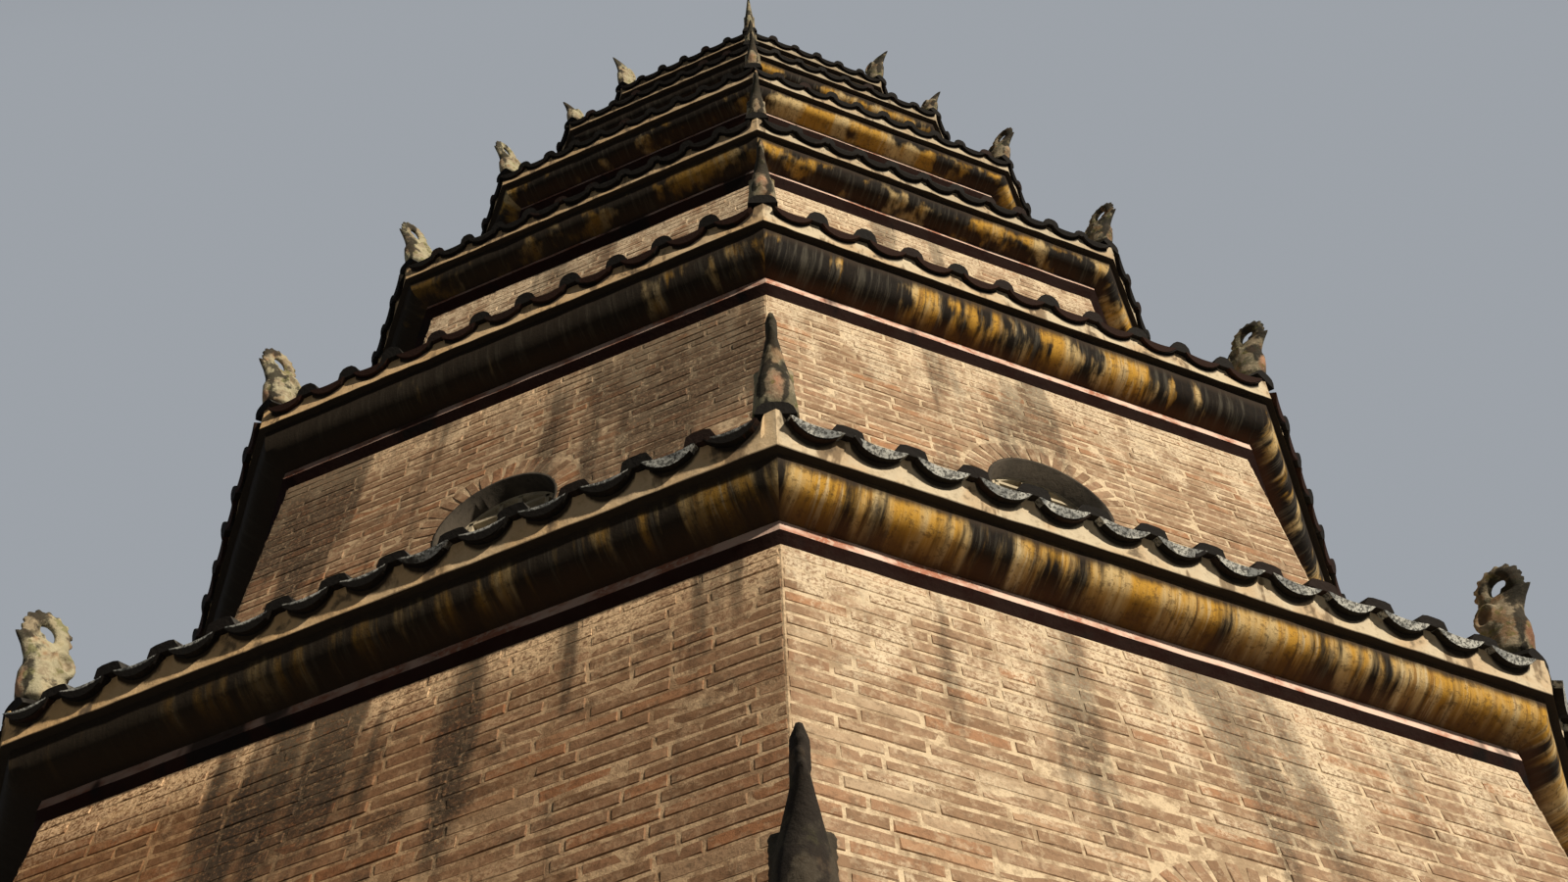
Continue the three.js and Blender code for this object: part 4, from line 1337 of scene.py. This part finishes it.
for number in range(1, 4):
    low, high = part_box(f"base_step_{number}")
    apothem, height = high.x, high.z - low.z
    half = apothem * cornerTangent
    spots = []
    for face in range(8):
        count = round(2 * half / steps["length"])
        cuts = [-half, *(half * (2 * cut / count - 1) + chance.uniform(-steps["cutShift"], steps["cutShift"])
                         for cut in range(1, count)), half]
        for start, end in zip(cuts, cuts[1:]):
            place = ((start + end) / 2, -apothem, (low.z + high.z) / 2)
            size = (end - start - steps["joint"], 1, chance.uniform(*steps["heights"]))
            spots.append(spotOn(face, place, (0, 0, 0), size, 0, chance.random()))
    core = (apothem - steps["coreBack"]) / cornerFactor
    outline = [(0, low.z), (core, low.z), (core, high.z - steps["coreDrop"]),
               (0, high.z - steps["coreDrop"])]
    name = f"base_step_{number}_stones"
    stones = joinMeshes(name, [toMesh(spinOctagon(outline, False), "core"),
                               scatter(f"{name}Blocks", [stepBlock(height)], spots)])
    addPiece(name, stones, [stepStone], [f"base_step_{number}"])


# the doorway's plastered lining, from the floor up over the arch
doorway = {"steps": 32, "thickness": 0.012, "proud": 0.003}


def doorLining(storey):
    shape = bmesh.new()
    half, spring, floorLevel = tower["doorHalf"], tower["doorSpring"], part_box("base_step_3")[1].z
    start = shape.verts.new((half, 0, spring))
    bmesh.ops.spin(shape, geom=[start], cent=(0, 0, spring), axis=(0, -1, 0), dvec=(0, 0, 0),
                   angle=math.pi, steps=doorway["steps"], use_merge=False, use_duplicate=False)
    shape.verts.ensure_lookup_table()
    end = shape.verts[-1]
    shape.edges.new((start, shape.verts.new((start.co.x, 0, floorLevel))))
    shape.edges.new((end, shape.verts.new((end.co.x, 0, floorLevel))))
    pushBack(shape, bmesh.ops.extrude_edge_only(shape, edges=shape.edges[:])["geom"],
             storey["thickness"] + 2 * doorway["proud"])
    bmesh.ops.recalc_face_normals(shape, faces=shape.faces)
    bmesh.ops.solidify(shape, geom=shape.faces[:], thickness=doorway["thickness"])
    bmesh.ops.translate(shape, verts=shape.verts, vec=(0, -storey["apothem"] - doorway["proud"], 0))
    return toMesh(shape, "doorLining")


addPiece("doorway_lining", doorLining(storeys[0]), [revealPlaster])

# finial: a lotus foot with a ring of petals, and the glazed vase on it
finial = {
    "foot": [(0.30, 0.0), (0.30, 0.12), (0.28, 0.15), (0.245, 0.18), (0.24, 0.24), (0.30, 0.31),
             (0.345, 0.385), (0.33, 0.418)],
    "petals": 12, "petalSize": (0.085, 0.035, 0.095), "petalLean": 0.5, "petalRadius": 0.275,
    "petalRise": 0.30,
    "vase": [(0.185, 0.0), (0.168, 0.05), (0.238, 0.12), (0.316, 0.22), (0.332, 0.30), (0.288, 0.39),
             (0.178, 0.47), (0.108, 0.53), (0.094, 0.60), (0.146, 0.632), (0.146, 0.652),
             (0.090, 0.675), (0.118, 0.72), (0.122, 0.77), (0.068, 0.83), (0.028, 0.92)],
    "sides": 64, "rings": 3,
}


def turnedShape(profile):
    # (radius, height) points closed to the axis at both ends and swept right round it
    shape = bmesh.new()
    path = [(0, profile[0][1]), *profile, (0, profile[-1][1])]
    sweep(shape, [(radius, 0, height) for radius, height in path], (0, 0, 1), finial["sides"], False)
    bmesh.ops.remove_doubles(shape, verts=shape.verts, dist=tower["mergeGap"])
    return shape


def finialFoot():
    low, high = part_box("finial_base")
    shape = turnedShape([(radius, low.z + rise) for radius, rise in finial["foot"]])
    for petal in range(finial["petals"]):
        ball = addBall(shape, (0, -finial["petalRadius"], low.z + finial["petalRise"]),
                       finial["petalSize"], finial["petalLean"])
        bmesh.ops.rotate(shape, verts=ball, cent=(0, 0, 0),
                         matrix=Matrix.Rotation(petal * math.tau / finial["petals"], 3, "Z"))
    mesh = toMesh(shape, "finialFoot")
    mesh.shade_smooth()
    mesh.set_sharp_from_angle(angle=math.radians(40))
    return mesh


def finialVase():
    # the profile's corners are rounded by a curve through them
    low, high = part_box("finial_vase")
    points = [(radius, low.z + share * (high.z - low.z)) for radius, share in finial["vase"]]
    points.append((0.006, high.z - 0.002))
    profile = []
    for number in range(len(points) - 1):
        before, start, end, after = (Vector(points[max(0, min(len(points) - 1, number + step))])
                                     for step in (-1, 0, 1, 2))
        for step in range(finial["rings"]):
            share = step / finial["rings"]
            pull, push = (end - before) / 2, (after - start) / 2
            profile.append(tuple((2 * share ** 3 - 3 * share ** 2 + 1) * start
                                 + (share ** 3 - 2 * share ** 2 + share) * pull
                                 + (3 * share ** 2 - 2 * share ** 3) * end
                                 + (share ** 3 - share ** 2) * push))
    profile.append(points[-1])
    mesh = toMesh(turnedShape(profile), "finialVase")
    mesh.shade_smooth()
    return mesh


addPiece("finial_lotus", finialFoot(), [mouldedPaint], ["finial_base"])
addPiece("finial_glazed_vase", finialVase(), [glazedOchre], ["finial_vase"])
print("base, doorway and finial made")


# camera: where the photograph was taken from, close to the foot and looking up at one corner
view = {
    "distance": 6.855, "eyeHeight": 1.6, "aroundCorner": 21.877, "pan": 1.3665, "tilt": 59.5213,
    "roll": 3.4314, "focalPixels": 1729.1, "imageWidth": 1600, "sensor": 36.0, "shift": -0.0042,
}


def addCamera():
    around = math.radians(view["aroundCorner"])
    pan, tilt, roll = (math.radians(view[key]) for key in ("pan", "tilt", "roll"))
    level = Vector((math.sin(pan), math.cos(pan), 0))
    across = Vector((math.cos(pan), -math.sin(pan), 0))
    ahead = level * math.cos(tilt) + Vector((0, 0, math.sin(tilt)))
    upright = Vector((0, 0, math.cos(tilt))) - level * math.sin(tilt)
    right = across * math.cos(roll) - upright * math.sin(roll)
    up = across * math.sin(roll) + upright * math.cos(roll)
    spun = Matrix.Rotation(around, 3, "Z")
    columns = Matrix((spun @ right, spun @ up, -(spun @ ahead))).transposed()
    data = bpy.data.cameras.new("camera")
    data.sensor_width = view["sensor"]
    data.lens = view["focalPixels"] / view["imageWidth"] * view["sensor"]
    data.shift_y = view["shift"]
    data.clip_end = 200
    camera = bpy.data.objects.new("camera", data)
    place = spun @ Vector((0, -view["distance"], view["eyeHeight"]))
    camera.matrix_world = Matrix.Translation(place) @ columns.to_4x4()
    scene.collection.objects.link(camera)
    scene.camera = camera


addCamera()

studio = {
    "sunAround": 63.5, "sunHeight": 20.0, "sunStrength": 4.5, "sunAngle": 3.0,
    "sunColor": (1.0, 0.90, 0.76), "air": (0.80, 0.86, 0.94), "airStrength": 0.07,
    "backdropStrength": 0.42, "fadeFrom": -0.05, "fadeTo": 0.28, "floorSize": 14.0,
}
sun = bpy.data.lights.new("key", "SUN")
sun.energy = studio["sunStrength"]
sun.angle = math.radians(studio["sunAngle"])
sun.color = studio["sunColor"]
sunObject = bpy.data.objects.new("key", sun)
around, height = math.radians(studio["sunAround"]), math.radians(studio["sunHeight"])
towards = Matrix.Rotation(around, 3, "Z") @ Vector((0, -math.cos(height), math.sin(height)))
sunObject.rotation_mode = "QUATERNION"
sunObject.rotation_quaternion = towards.to_track_quat("Z", "Y")
scene.collection.objects.link(sunObject)
world = bpy.data.worlds.new("studio")
world.use_nodes = True
backing = world.node_tree.nodes["Background"]
backing.inputs["Color"].default_value = (*studio["air"], 1)
# dim in front of the tower, and a pale backdrop behind it
direction = world.node_tree.nodes.new("ShaderNodeTexCoord")
along = world.node_tree.nodes.new("ShaderNodeVectorMath")
along.operation = "DOT_PRODUCT"
around = math.radians(view["aroundCorner"])
along.inputs[1].default_value = (-math.sin(around), math.cos(around), 0)
fade = world.node_tree.nodes.new("ShaderNodeMapRange")
fade.interpolation_type = "SMOOTHSTEP"
for key, value in (("From Min", "fadeFrom"), ("From Max", "fadeTo"), ("To Min", "airStrength"),
                   ("To Max", "backdropStrength")):
    fade.inputs[key].default_value = studio[value]
world.node_tree.links.new(direction.outputs["Generated"], along.inputs[0])
world.node_tree.links.new(along.outputs["Value"], fade.inputs["Value"])
world.node_tree.links.new(fade.outputs["Result"], backing.inputs["Strength"])
scene.world = world
scene.view_settings.view_transform = "Standard"

floorShape = bmesh.new()
bmesh.ops.create_grid(floorShape, x_segments=1, y_segments=1, size=studio["floorSize"])
floorObject = bpy.data.objects.new("studio_floor", toMesh(floorShape, "studio_floor"))
floorObject.data.materials.append(plainMaterial("studioFloor", (0.36, 0.36, 0.35), (0.34, 0.34, 0.33), 0.5))
scene.collection.objects.link(floorObject)
print("camera and light set")
